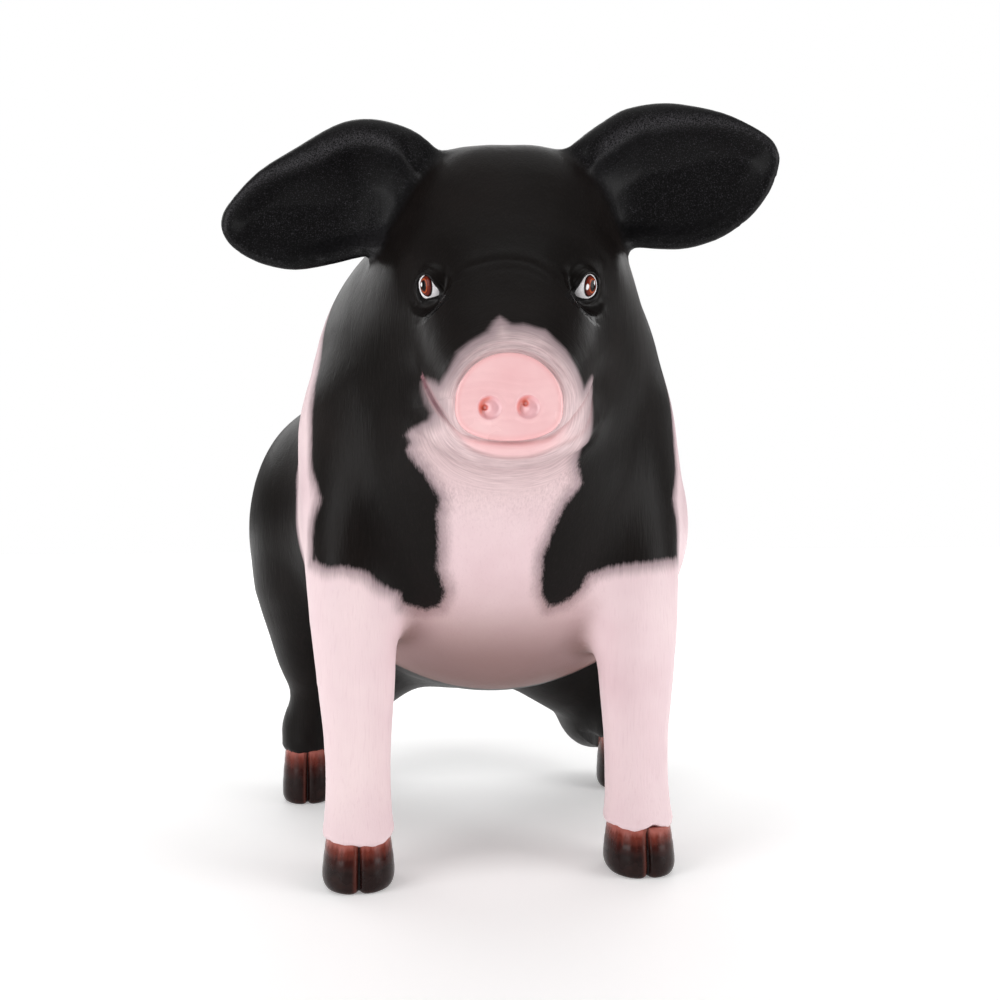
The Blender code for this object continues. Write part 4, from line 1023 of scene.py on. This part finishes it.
def eyeball(name, s):
    """A glass-smooth eyeball with a slightly raised cornea, in rings about the gaze."""
    c = math.cos(IRIS_UP)
    g = np.array([s * math.sin(IRIS_OUT) * c, math.cos(IRIS_OUT) * c, math.sin(IRIS_UP)])
    a = np.array([-s * math.cos(IRIS_OUT), math.sin(IRIS_OUT), 0.0])
    b = np.cross(a, g)
    b *= 1.0 if b[2] > 0 else -1.0
    bm = bmesh.new()
    rings, around = 72, 96
    grid = []
    for i in range(1, rings):
        th = math.pi * i / rings
        row = []
        for k in range(around):
            ph = 2 * math.pi * k / around
            d = g * math.cos(th) + (a * math.cos(ph) + b * math.sin(ph)) * math.sin(th)
            row.append(bm.verts.new(Vector(d)))
        grid.append(row)
    first, last = bm.verts.new(Vector(g)), bm.verts.new(Vector(-g))
    for k in range(around):
        n = (k + 1) % around
        bm.faces.new((first, grid[0][k], grid[0][n]))
        bm.faces.new((last, grid[-1][n], grid[-1][k]))
        for i in range(len(grid) - 1):
            bm.faces.new((grid[i][k], grid[i + 1][k], grid[i + 1][n], grid[i][n]))
    bmesh.ops.recalc_face_normals(bm, faces=bm.faces)
    ob = to_object(name, bm)
    me = ob.data
    d = points(me)
    turn = np.arccos(np.clip(d @ g, -1, 1))
    k = turn / np.maximum(np.sin(turn), 1e-6)
    x, y = d @ a * k, d @ b * k
    iris = np.hypot(x / IRIS_WIDE, y / IRIS_TALL)
    paint_by(me, "iris", iris)
    paint_by(me, "spoke", np.arctan2(y / IRIS_TALL, x / IRIS_WIDE))
    paint_by(me, "pupil", np.hypot((x + math.radians(7.5)) / math.radians(10.0), (y - math.radians(1.0)) / math.radians(15.5)))
    glint = np.zeros(len(d))
    for gx, gy, gw, gh in GLINTS[s]:
        glint = np.maximum(glint, smoothstep(1.15, 0.80, np.hypot((x - math.radians(gx)) / math.radians(gw),
                                                                  (y - math.radians(gy)) / math.radians(gh))))
    paint_by(me, "glint", glint)
    r = EYE_R + 0.0005 * smoothstep(1.15, 0.75, iris)
    h = d * r[:, None] + np.array([s * EYE_U, EYE_W, EYE_H])
    put_points(me, HEAD_AT + np.outer(h[:, 0], HU) + np.outer(h[:, 1], HF) + np.outer(h[:, 2], HZ))
    return ob


# --------------------------------------------------------------- the snout
NOSTRILS = [(-0.0150, -0.1216), (0.0148, -0.1211)]


def snout_piece():
    """The flat snout disc, with its rounded edge and two shallow nostrils."""
    bm = bmesh.new()
    around, rings = 192, 60
    back, face = DISC_W - 0.0098, DISC_W + 0.0016
    edge = [np.array(disc_edge(2 * math.pi * k / around)) for k in range(around)]
    profile = [(0.90, back), (0.985, back), (0.995, back + 0.003), (1.0, back + 0.0065), (0.997, back + 0.0085),
               (0.986, back + 0.0100), (0.970, back + 0.0108), (0.950, back + 0.0112)]
    grid = []
    for grow, w in profile:
        grid.append([(e[0] * grow, w, DISC_H + e[1] * grow) for e in edge])
    for i in range(1, rings):
        grow = 0.950 * (1.0 - i / rings)
        grid.append([(e[0] * grow, back + 0.0112 + 0.0006 * (1 - grow ** 2), DISC_H + e[1] * grow) for e in edge])
    rows = [[bm.verts.new(Vector(v)) for v in row] for row in grid]
    for lo_r, hi_r in zip(rows[:-1], rows[1:]):
        for k in range(around):
            n = (k + 1) % around
            bm.faces.new((lo_r[k], lo_r[n], hi_r[n], hi_r[k]))
    mid = bm.verts.new(Vector((0, back + 0.0118, DISC_H)))
    end = bm.verts.new(Vector((0, back, DISC_H)))
    for k in range(around):
        n = (k + 1) % around
        bm.faces.new((rows[-1][k], rows[-1][n], mid))
        bm.faces.new((rows[0][n], rows[0][k], end))
    bmesh.ops.recalc_face_normals(bm, faces=bm.faces)
    ob = to_object("snout", bm)
    me = ob.data
    q = points(me)
    depth, pit = np.zeros(len(q)), np.zeros(len(q))
    front = q[:, 1] > back + 0.0105
    for s, (u, h) in zip((-1, 1), NOSTRILS):
        du, dh = q[:, 0] - u, q[:, 2] - h
        d = np.hypot(du, dh)
        bowl = smoothstep(0.0096, 0.0060, d)
        # deepest toward the pig's right, where the passage starts as a small curl
        side = smoothstep(-0.006, 0.008, -du * 0.86 + dh * (0.10 if s < 0 else 0.55))
        curl = np.hypot(du + (0.0040 if s < 0 else 0.0020), dh - (0.0004 if s < 0 else 0.0032))
        hole = smoothstep(0.0030, 0.0010, curl)
        swell = hump(np.hypot(du - 0.0020, dh + 0.0008), 0.0042)
        depth += bowl * (0.0013 + 0.0024 * side) + 0.0018 * hole - 0.0012 * swell - 0.0004 * hump(d - 0.0104, 0.0018)
        # pit colours each nostril: its own darker red, deepened as painted shade toward the pig's right side of the
        # pit, along the rim on that side and in the curl
        rim = hump(d - 0.0070, 0.0022) * smoothstep(0.001, 0.006, -du + 0.6 * dh)
        edge_on = smoothstep(0.0100, 0.0090, d)
        pit = np.maximum(pit, np.clip(0.20 * edge_on + 0.14 * edge_on * side + (0.22 if s < 0 else 0.15) * rim
                                      + 0.26 * hump(curl - 0.0016, 0.0012) * (dh > -0.002), 0.0, 1.0))
    q[:, 1] -= np.where(front, depth, 0.0)
    # faint creases across the disc's face
    crease = 0.00008 * np.sin(q[:, 2] * 900 + 2.0 * np.sin(q[:, 0] * 90)) * smoothstep(0.030, 0.012, np.abs(q[:, 2] - DISC_H + 0.002))
    q[:, 1] -= np.where(front, crease * (1 - np.clip(pit, 0, 1)), 0.0)
    put_points(me, HEAD_AT + np.outer(q[:, 0], HU) + np.outer(q[:, 1], HF) + np.outer(q[:, 2], HZ))
    paint_by(me, "pit", np.where(front, np.clip(pit, 0, 1), 0.0))
    dd = outline_distance(q[:, 0], q[:, 2] - DISC_H, DISC_LOOP)
    paint_by(me, "rim", smoothstep(-0.006, -0.0008, dd))
    return ob


# ---------------------------------------------------------------- the feet
HOOF = {"fore": dict(at=(LEG_X + 0.0005, -0.1290), half=0.0336, front=0.0382, back=0.0352, high=FORE_CORONET, neck=0.115),
        "hind": dict(at=(HIND_X + 0.0020, 0.1600), half=0.0299, front=0.0337, back=0.0325, high=HIND_CORONET, neck=0.110)}


def hoof_piece(name, which, s):
    """A cloven hoof: two toes side by side, flat below and rounded at the rim."""
    spec = HOOF[which]
    bm = bmesh.new()
    around, levels = 200, 34
    x0, y0 = spec["at"]
    x0 += (HIND_OUT if which == "hind" else LEFT_OUT) if s > 0 else 0.0
    high = spec["high"]
    rows, shade, cleft, seam = [], [], [], []
    for i in range(levels + 1):
        t = i / levels
        z = (high + 0.0035) * t
        h = z / high
        foot = 0.0120
        under = 0.0062 * (1.0 - math.sqrt(max(1.0 - max(1.0 - z / foot, 0.0) ** 2, 0.0)))
        x = min(max((h - 0.22) / 0.78, 0.0), 1.0)
        flare = 1.0 - spec["neck"] * x * x * (1.6 - 0.6 * x)
        row = []
        for k in range(around):
            a = 2 * math.pi * k / around
            cx, cy = math.cos(a), math.sin(a)
            ex = math.copysign(abs(cx) ** 0.86, cx)
            ey = math.copysign(abs(cy) ** 0.86, cy)
            reach = spec["front"] if cy < 0 else spec["back"]
            fa = abs(math.atan2(math.sin(a - 1.5 * math.pi), math.cos(a - 1.5 * math.pi)))
            ra = abs(math.atan2(math.sin(a - 0.5 * math.pi), math.cos(a - 0.5 * math.pi)))
            bulge = 1.0 + 0.010 * math.exp(-((fa - 0.42) / 0.25) ** 2)
            groove = 0.0042 * math.exp(-(fa / (0.026 + 0.012 * (1 - h))) ** 2) + 0.0022 * math.exp(-(fa / 0.12) ** 2)
            groove += 0.0070 * math.exp(-(ra / 0.07) ** 2) + 0.0030 * math.exp(-(ra / 0.2) ** 2)
            groove *= 1.0 - 0.85 * smoothstep(0.93, 1.06, np.array(h)).item()
            ring = 0.0
            for zz, w, dpt in ((0.72, 0.06, 0.00022), (0.48, 0.06, 0.00016)):
                ring += dpt * math.exp(-((h - zz - 0.012 * math.sin(3 * a + s)) / w) ** 2)
            r = math.hypot(ex * spec["half"], ey * reach) * flare * bulge - under - groove - ring
            m = math.hypot(ex * spec["half"], ey * reach)
            dx, dy = ex * spec["half"] / m * r, ey * reach / m * r
            # the toes' soles end a little higher at the cleft
            zz = z + (0.0 if z > 0.012 else 0.0012 * math.exp(-(fa / 0.10) ** 2) * (1.0 - z / 0.012))
            row.append(bm.verts.new(Vector((s * x0 + dx, y0 + dy + 0.0012 * h, zz))))
            shade.append(h)
            cleft.append(math.exp(-(fa / 0.030) ** 2) * (1.0 if dy < 0 else 0.0))
            at = math.atan2(math.sin(a - 1.5 * math.pi), math.cos(a - 1.5 * math.pi)) * s
            seam.append(math.exp(-((at + 0.075 * s) / 0.045) ** 2) * (1.0 if dy < 0 else 0.0))
        rows.append(row)
    for lo_r, hi_r in zip(rows[:-1], rows[1:]):
        for k in range(around):
            n = (k + 1) % around
            bm.faces.new((lo_r[k], lo_r[n], hi_r[n], hi_r[k]))
    # the sole and the top, drawn in over a few rings to the middle
    for rowk, z, h in ((rows[0], 0.0, 0.0), (rows[-1], high + 0.0035, 1.1)):
        prev = rowk
        for shrink in (0.93, 0.75, 0.5, 0.25):
            ring = [bm.verts.new(Vector((s * x0 + (v.co.x - s * x0) * shrink, y0 + (v.co.y - y0) * shrink,
                                         z + (v.co.z - z) * shrink))) for v in rowk]
            shade += [h] * around
            cleft += [0.0] * around
            seam += [0.0] * around
            for k in range(around):
                n = (k + 1) % around
                bm.faces.new((prev[k], prev[n], ring[n], ring[k]))
            prev = ring
        mid = bm.verts.new(Vector((s * x0, y0, z)))
        shade.append(h)
        cleft.append(0.0)
        seam.append(0.0)
        for k in range(around):
            bm.faces.new((prev[k], prev[(k + 1) % around], mid))
    bmesh.ops.recalc_face_normals(bm, faces=bm.faces)
    ob = to_object(name, bm)
    paint_by(ob.data, "height", shade)
    paint_by(ob.data, "cleft", cleft)
    paint_by(ob.data, "seam", seam)
    return ob


# ------------------------------------------------------------ the materials
class Nodes:
    """A small helper to lay out a material's nodes."""

    def __init__(self, name):
        self.m = bpy.data.materials.new(name)
        self.m.use_nodes = True
        self.t = self.m.node_tree
        self.b = self.t.nodes["Principled BSDF"]
        self.coord = self.t.nodes.new("ShaderNodeTexCoord").outputs["Object"]

    def link(self, a, b):
        self.t.links.new(a, b)

    def attr(self, name):
        n = self.t.nodes.new("ShaderNodeAttribute")
        n.attribute_name = name
        return n.outputs["Fac"]

    def math(self, op, a, b=None, c=None, clamp=False):
        n = self.t.nodes.new("ShaderNodeMath")
        n.operation = op
        n.use_clamp = clamp
        for i, v in enumerate((a, b, c)):
            if v is None:
                continue
            if isinstance(v, (int, float)):
                n.inputs[i].default_value = v
            else:
                self.link(v, n.inputs[i])
        return n.outputs[0]

    def scaled(self, scale, turn=(0.0, 0.0, 0.0), source=None):
        n = self.t.nodes.new("ShaderNodeMapping")
        n.inputs["Scale"].default_value = scale
        n.inputs["Rotation"].default_value = turn
        self.link(source or self.coord, n.inputs["Vector"])
        return n.outputs[0]

    def noise(self, vector, scale=1.0, detail=3.0, rough=0.5, distortion=0.0):
        n = self.t.nodes.new("ShaderNodeTexNoise")
        n.inputs["Scale"].default_value = scale
        n.inputs["Detail"].default_value = detail
        n.inputs["Roughness"].default_value = rough
        n.inputs["Distortion"].default_value = distortion
        self.link(vector, n.inputs["Vector"])
        return n.outputs["Fac"]

    def ramp(self, fac, stops):
        n = self.t.nodes.new("ShaderNodeValToRGB")
        r = n.color_ramp
        while len(r.elements) < len(stops):
            r.elements.new(0.5)
        for e, (at, c) in zip(r.elements, stops):
            e.position = at
            e.color = (*c, 1.0) if len(c) == 3 else c
        self.link(fac, n.inputs["Fac"])
        return n.outputs["Color"]

    def span(self, v, a, b, lo_v=0.0, hi_v=1.0):
        n = self.t.nodes.new("ShaderNodeMapRange")
        n.interpolation_type = "SMOOTHSTEP"
        for key, x in (("From Min", a), ("From Max", b), ("To Min", lo_v), ("To Max", hi_v)):
            n.inputs[key].default_value = x
        self.link(v, n.inputs["Value"])
        return n.outputs["Result"]

    def mix(self, fac, a, b, how="MIX"):
        n = self.t.nodes.new("ShaderNodeMix")
        n.data_type = "RGBA"
        n.blend_type = how
        for sock, v in ((n.inputs[0], fac), (n.inputs[6], a), (n.inputs[7], b)):
            if isinstance(v, (int, float)):
                sock.default_value = v
            elif isinstance(v, tuple):
                sock.default_value = (*v, 1.0)
            else:
                self.link(v, sock)
        return n.outputs[2]

    def mixf(self, fac, a, b):
        n = self.t.nodes.new("ShaderNodeMix")
        n.data_type = "FLOAT"
        for sock, v in ((n.inputs[0], fac), (n.inputs[2], a), (n.inputs[3], b)):
            if isinstance(v, (int, float)):
                sock.default_value = v
            else:
                self.link(v, sock)
        return n.outputs[0]

    def bump(self, height, strength, distance, normal=None):
        n = self.t.nodes.new("ShaderNodeBump")
        n.inputs["Strength"].default_value = strength
        n.inputs["Distance"].default_value = distance
        self.link(height, n.inputs["Height"])
        if normal is not None:
            self.link(normal, n.inputs["Normal"])
        return n.outputs["Normal"]


def coat_paint():
    """Airbrushed black and pink-white over shallow sculpted hair strokes, with painted shade under the belly and in the
    creases, and a painted highlight on the ears' rims.
    """
    k = Nodes("painted_coat")
    b = k.b
    # hair strokes, down or back, and a fine grain
    down = k.noise(k.scaled((620.0, 620.0, 42.0)), 1.0, 3.0, 0.55, 0.25)
    back = k.noise(k.scaled((520.0, 38.0, 620.0), (0.35, 0.0, 0.0)), 1.0, 3.0, 0.55, 0.25)
    strokes = k.mixf(k.attr("along"), down, back)
    at = k.t.nodes.new("ShaderNodeCombineXYZ")
    k.link(k.attr("ring"), at.inputs[0])
    k.link(k.attr("turn"), at.inputs[1])
    arches = k.noise(k.scaled((820.0, 60.0, 1.0), source=at.outputs[0]), 1.0, 3.0, 0.55, 0.3)
    strokes = k.mixf(k.attr("muzzle"), strokes, arches)
    broad = k.noise(k.scaled((90.0, 60.0, 22.0)), 1.0, 2.0, 0.5, 0.4)
    blotch = k.noise(k.coord, 9.0, 3.0, 0.55)
    grain = k.noise(k.coord, 900.0, 2.0, 0.65)
    # the edge between black and white, feathered along the strokes
    feather = k.math("ADD", k.math("MULTIPLY", k.math("SUBTRACT", strokes, 0.5), 0.0060),
                     k.math("MULTIPLY", k.math("SUBTRACT", broad, 0.5), 0.0050))
    feather = k.math("MULTIPLY", feather, k.math("SUBTRACT", 1.0, k.math("MULTIPLY", k.attr("muzzle"), 0.65)))
    white = k.math("ADD", k.attr("white"), feather)
    mask = k.span(white, -0.0028, 0.0034)
    shade = k.span(white, 0.0, 0.016)
    # black paint, a little brown, dulled where it is thin
    black = k.ramp(blotch, [(0.30, (0.0034, 0.0024, 0.0020)), (0.52, (0.0050, 0.0034, 0.0030)), (0.75, (0.0078, 0.0052, 0.0045))])
    black = k.mix(k.math("MULTIPLY", k.span(strokes, 0.50, 0.80), 0.35), black, (0.0130, 0.0105, 0.0100))
    black = k.mix(k.attr("ear"), black, k.ramp(grain, [(0.35, (0.0022, 0.0021, 0.0023)), (0.56, (0.0044, 0.0042, 0.0046)),
                                                         (0.74, (0.0460, 0.0440, 0.0500))]))
    # painted highlight: the rolled upper rims of the ears, and a round patch on the right ear near its root, are
    # painted a speckled lighter grey
    painted_rim_highlight = k.math("MULTIPLY", k.attr("rim"), k.span(grain, 0.38, 0.60))
    black = k.mix(k.math("MULTIPLY", painted_rim_highlight, 0.85), black, (0.0480, 0.0460, 0.0500))
    # pink-white paint
    pink = k.ramp(blotch, [(0.30, (0.735, 0.550, 0.580)), (0.52, (0.800, 0.625, 0.650)), (0.75, (0.845, 0.680, 0.690))])
    pink = k.mix(k.math("MULTIPLY", k.span(strokes, 0.46, 0.30), 0.22), pink, (0.660, 0.470, 0.510))
    pink = k.mix(k.math("MULTIPLY", k.attr("face"), 0.75), pink,
                 k.ramp(strokes, [(0.30, (0.440, 0.315, 0.325)), (0.55, (0.630, 0.475, 0.478)), (0.75, (0.765, 0.615, 0.612))]))
    pink = k.mix(k.math("MULTIPLY", k.attr("lip"), 0.85), pink, (0.880, 0.560, 0.570))
    pink = k.mix(shade, (0.330, 0.250, 0.265), pink)
    # painted shade along the creases of the mouth, the lower lip and the brow
    pink = k.mix(k.math("MULTIPLY", k.attr("crease"), 0.75), pink, (0.400, 0.190, 0.195))
    # painted shade: the downward-facing underside of the belly is painted a darker brown-pink
    pink = k.mix(k.math("MULTIPLY", k.attr("under"), 0.92), pink, k.mix(k.attr("under"), (0.560, 0.360, 0.350), (0.200, 0.100, 0.085)))
    colour = k.mix(mask, black, pink)
    colour = k.mix(k.attr("gum"), colour, (0.200, 0.095, 0.110))
    colour = k.mix(k.attr("lid"), colour, (0.0065, 0.0056, 0.0056))
    k.link(colour, b.inputs["Base Color"])
    rough = k.mixf(mask, k.span(blotch, 0.3, 0.7, 0.36, 0.46), k.span(blotch, 0.3, 0.7, 0.34, 0.44))
    rough = k.mixf(k.attr("ear"), rough, k.span(grain, 0.3, 0.7, 0.30, 0.55))
    rough = k.mixf(k.attr("lip"), rough, 0.24)
    rough = k.mixf(k.attr("lid"), rough, 0.25)
    k.link(rough, b.inputs["Roughness"])
    b.inputs["Specular IOR Level"].default_value = 0.11
    quiet = k.math("MULTIPLY", strokes, k.math("SUBTRACT", 1.0, k.math("MULTIPLY", k.attr("ear"), 0.85)))
    n1 = k.bump(quiet, 0.55, 0.00045)
    n2 = k.bump(broad, 0.35, 0.0012, n1)
    ear_grain = k.math("MULTIPLY", grain, k.math("ADD", k.math("MULTIPLY", k.attr("ear"), 0.9), 0.12))
    n3 = k.bump(ear_grain, 0.6, 0.00028, n2)
    k.link(n3, b.inputs["Normal"])
    return k.m


def snout_paint():
    k = Nodes("snout_paint")
    b = k.b
    blotch = k.noise(k.coord, 26.0, 3.0, 0.5)
    fine = k.noise(k.coord, 900.0, 3.0, 0.6)
    base = k.ramp(blotch, [(0.30, (0.860, 0.500, 0.515)), (0.55, (0.900, 0.560, 0.570)), (0.78, (0.920, 0.620, 0.620))])
    base = k.mix(k.math("MULTIPLY", k.attr("rim"), 0.55), base, (0.860, 0.420, 0.430))
    # the nostrils' own red, with painted shade deepening it on one side of each pit and in the curl
    pit = k.ramp(k.attr("pit"), [(0.0, (0.905, 0.500, 0.505)), (0.20, (0.780, 0.430, 0.460)), (0.40, (0.800, 0.360, 0.360)), (0.55, (0.760, 0.220, 0.180)),
                                 (0.72, (0.640, 0.110, 0.065)), (1.0, (0.360, 0.045, 0.030))])
    colour = k.mix(k.span(k.attr("pit"), 0.02, 0.20), base, pit)
    k.link(colour, b.inputs["Base Color"])
    k.link(k.span(blotch, 0.3, 0.7, 0.20, 0.30), b.inputs["Roughness"])
    b.inputs["Specular IOR Level"].default_value = 0.5
    b.inputs["Coat Weight"].default_value = 0.25
    b.inputs["Coat Roughness"].default_value = 0.20
    b.inputs["Subsurface Weight"].default_value = 0.0
    n1 = k.bump(fine, 0.25, 0.0002)
    n2 = k.bump(blotch, 0.25, 0.0015, n1)
    k.link(n2, b.inputs["Normal"])
    return k.m


def hoof_paint():
    k = Nodes("hoof_paint")
    b = k.b
    streak = k.noise(k.scaled((260.0, 260.0, 26.0)), 1.0, 3.0, 0.55)
    blotch = k.noise(k.coord, 60.0, 3.0, 0.55)
    h = k.math("ADD", k.attr("height"), k.math("MULTIPLY", k.math("SUBTRACT", streak, 0.5), 0.22))
    colour = k.ramp(h, [(0.00, (0.0300, 0.0080, 0.0060)), (0.10, (0.0120, 0.0040, 0.0034)), (0.48, (0.0110, 0.0036, 0.0030)),
                        (0.70, (0.038, 0.0070, 0.0048)), (0.88, (0.150, 0.0270, 0.0170)), (1.0, (0.340, 0.1000, 0.0800))])
    colour = k.mix(k.math("MULTIPLY", k.span(blotch, 0.5, 0.75), 0.30), colour, (0.045, 0.016, 0.011))
    colour = k.mix(k.math("MULTIPLY", k.attr("seam"), 0.60), colour, (0.120, 0.026, 0.016))
    colour = k.mix(k.math("MULTIPLY", k.attr("cleft"), 0.85), colour, (0.006, 0.003, 0.003))
    k.link(colour, b.inputs["Base Color"])
    k.link(k.span(blotch, 0.3, 0.7, 0.20, 0.32), b.inputs["Roughness"])
    b.inputs["Specular IOR Level"].default_value = 0.14
    b.inputs["Coat Weight"].default_value = 0.06
    b.inputs["Coat Roughness"].default_value = 0.20
    k.link(k.bump(streak, 0.35, 0.0003), b.inputs["Normal"])
    return k.m


def eye_paint():
    k = Nodes("eye_paint")
    b = k.b
    veins = k.noise(k.coord, 420.0, 3.0, 0.6)
    white = k.ramp(veins, [(0.35, (0.900, 0.870, 0.890)), (0.60, (0.940, 0.920, 0.940)), (0.75, (0.920, 0.860, 0.870))])
    fan = k.noise(k.scaled((900.0, 900.0, 900.0)), 1.0, 2.0, 0.6)
    at = k.math("ADD", k.attr("iris"), k.math("MULTIPLY", k.math("SUBTRACT", fan, 0.5), 0.10))
    out = k.math("MULTIPLY", k.math("ADD", k.attr("pupil"), k.math("MULTIPLY", k.math("SUBTRACT", fan, 0.5), 0.22)), 0.4)
    iris = k.ramp(out, [(0.38, (0.006, 0.002, 0.002)), (0.47, (0.070, 0.008, 0.004)), (0.57, (0.500, 0.085, 0.020)),
                        (0.66, (0.100, 0.010, 0.005)), (0.82, (0.165, 0.018, 0.007)), (1.0, (0.080, 0.008, 0.004))])
    iris = k.mix(k.span(at, 0.72, 0.95), iris, (0.010, 0.002, 0.002))
    colour = k.mix(k.span(k.attr("iris"), 0.97, 1.04), iris, white)
    colour = k.mix(k.span(k.attr("pupil"), 1.05, 0.92), colour, (0.003, 0.002, 0.002))
    colour = k.mix(k.attr("glint"), colour, (0.930, 0.930, 0.940))
    k.link(colour, b.inputs["Base Color"])
    k.link(k.span(veins, 0.3, 0.7, 0.06, 0.10), b.inputs["Roughness"])
    b.inputs["Specular IOR Level"].default_value = 0.08
    b.inputs["Coat Weight"].default_value = 0.10
    b.inputs["Coat Roughness"].default_value = 0.03
    return k.m


# ------------------------------------------------------------------- build
skin = build_skin()
dress(skin)
finish_piece(skin, coat_paint(),
             ["trunk", "neck", "head", "ear_right", "ear_left", "foreleg_right", "foreleg_left", "hindleg_right",
              "hindleg_left", "tail"])
glaze = eye_paint()
finish_piece(eyeball("eyeball_right", -1), glaze, ["eye_right"])
finish_piece(eyeball("eyeball_left", 1), glaze, ["eye_left"])
finish_piece(snout_piece(), snout_paint(), ["snout_disc"])
horn = hoof_paint()
for side, s in (("right", -1), ("left", 1)):
    for which in ("fore", "hind"):
        finish_piece(hoof_piece("hoof_%s_%s" % (which, side), which, s), horn, ["%s_hoof_%s" % (which, side)])

# ------------------------------------------------------- floor, light, view
bm = bmesh.new()
bmesh.ops.create_grid(bm, x_segments=1, y_segments=1, size=6.0)
floor = to_object("floor", bm)
fm = Nodes("floor_paint")
fm.link(fm.ramp(fm.noise(fm.coord, 3.0, 2.0), [(0.3, (0.94, 0.94, 0.94)), (0.7, (0.95, 0.95, 0.95))]), fm.b.inputs["Base Color"])
fm.b.inputs["Roughness"].default_value = 0.6
fm.b.inputs["Emission Color"].default_value = (1.0, 1.0, 1.0, 1.0)
fm.b.inputs["Emission Strength"].default_value = 0.26
floor.data.materials.append(fm.m)

scene = bpy.context.scene
scene.view_settings.view_transform = "Standard"
world = bpy.data.worlds.new("studio")
scene.world = world
world.use_nodes = True
# a white sweep behind, and a dim even room round about
air = world.node_tree
room = air.nodes["Background"]
room.inputs["Color"].default_value = (1.0, 0.985, 0.975, 1.0)
room.inputs["Strength"].default_value = 0.26
sweep = air.nodes.new("ShaderNodeBackground")
sweep.inputs["Color"].default_value = (1.0, 1.0, 1.0, 1.0)
sweep.inputs["Strength"].default_value = 1.0
seen, both = air.nodes.new("ShaderNodeLightPath"), air.nodes.new("ShaderNodeMixShader")
air.links.new(seen.outputs["Is Camera Ray"], both.inputs[0])
air.links.new(room.outputs[0], both.inputs[1])
air.links.new(sweep.outputs[0], both.inputs[2])
air.links.new(both.outputs[0], air.nodes["World Output"].inputs["Surface"])


def softbox(name, at, toward, size, power):
    light = bpy.data.lights.new(name, "AREA")
    light.shape = "RECTANGLE"
    light.size, light.size_y = size
    light.energy = power
    ob = bpy.data.objects.new(name, light)
    scene.collection.objects.link(ob)
    ob.location = at
    ob.rotation_euler = (Vector(toward) - Vector(at)).to_track_quat("-Z", "Y").to_euler()
    return ob


softbox("key", (-2.0, -1.3, 0.90), (0.0, 0.0, 0.32), (1.4, 1.6), 30.5)
softbox("fill", (2.0, -1.3, 0.85), (0.0, 0.0, 0.32), (1.4, 1.6), 31.0)
softbox("top", (0.0, -0.1, 2.2), (0.0, 0.0, 0.4), (1.8, 1.8), 5.0)
softbox("sweep", (0.0, 5.2, 3.0), (0.0, 5.4, 0.0), (12.0, 6.6), 440.0)

EYE_POINT = np.array([-0.147, -1.120, 0.357]) + SHIFT * np.array([1, 1, 0])
cam = bpy.data.cameras.new("camera")
cam.lens, cam.sensor_width = 37.8, 36.0
cam.clip_start, cam.clip_end = 0.05, 30.0
view = bpy.data.objects.new("camera", cam)
scene.collection.objects.link(view)
view.location = Vector(EYE_POINT)
view.rotation_euler = Vector((0.148, 0.989, 0.0)).to_track_quat("-Z", "Y").to_euler()
scene.camera = view
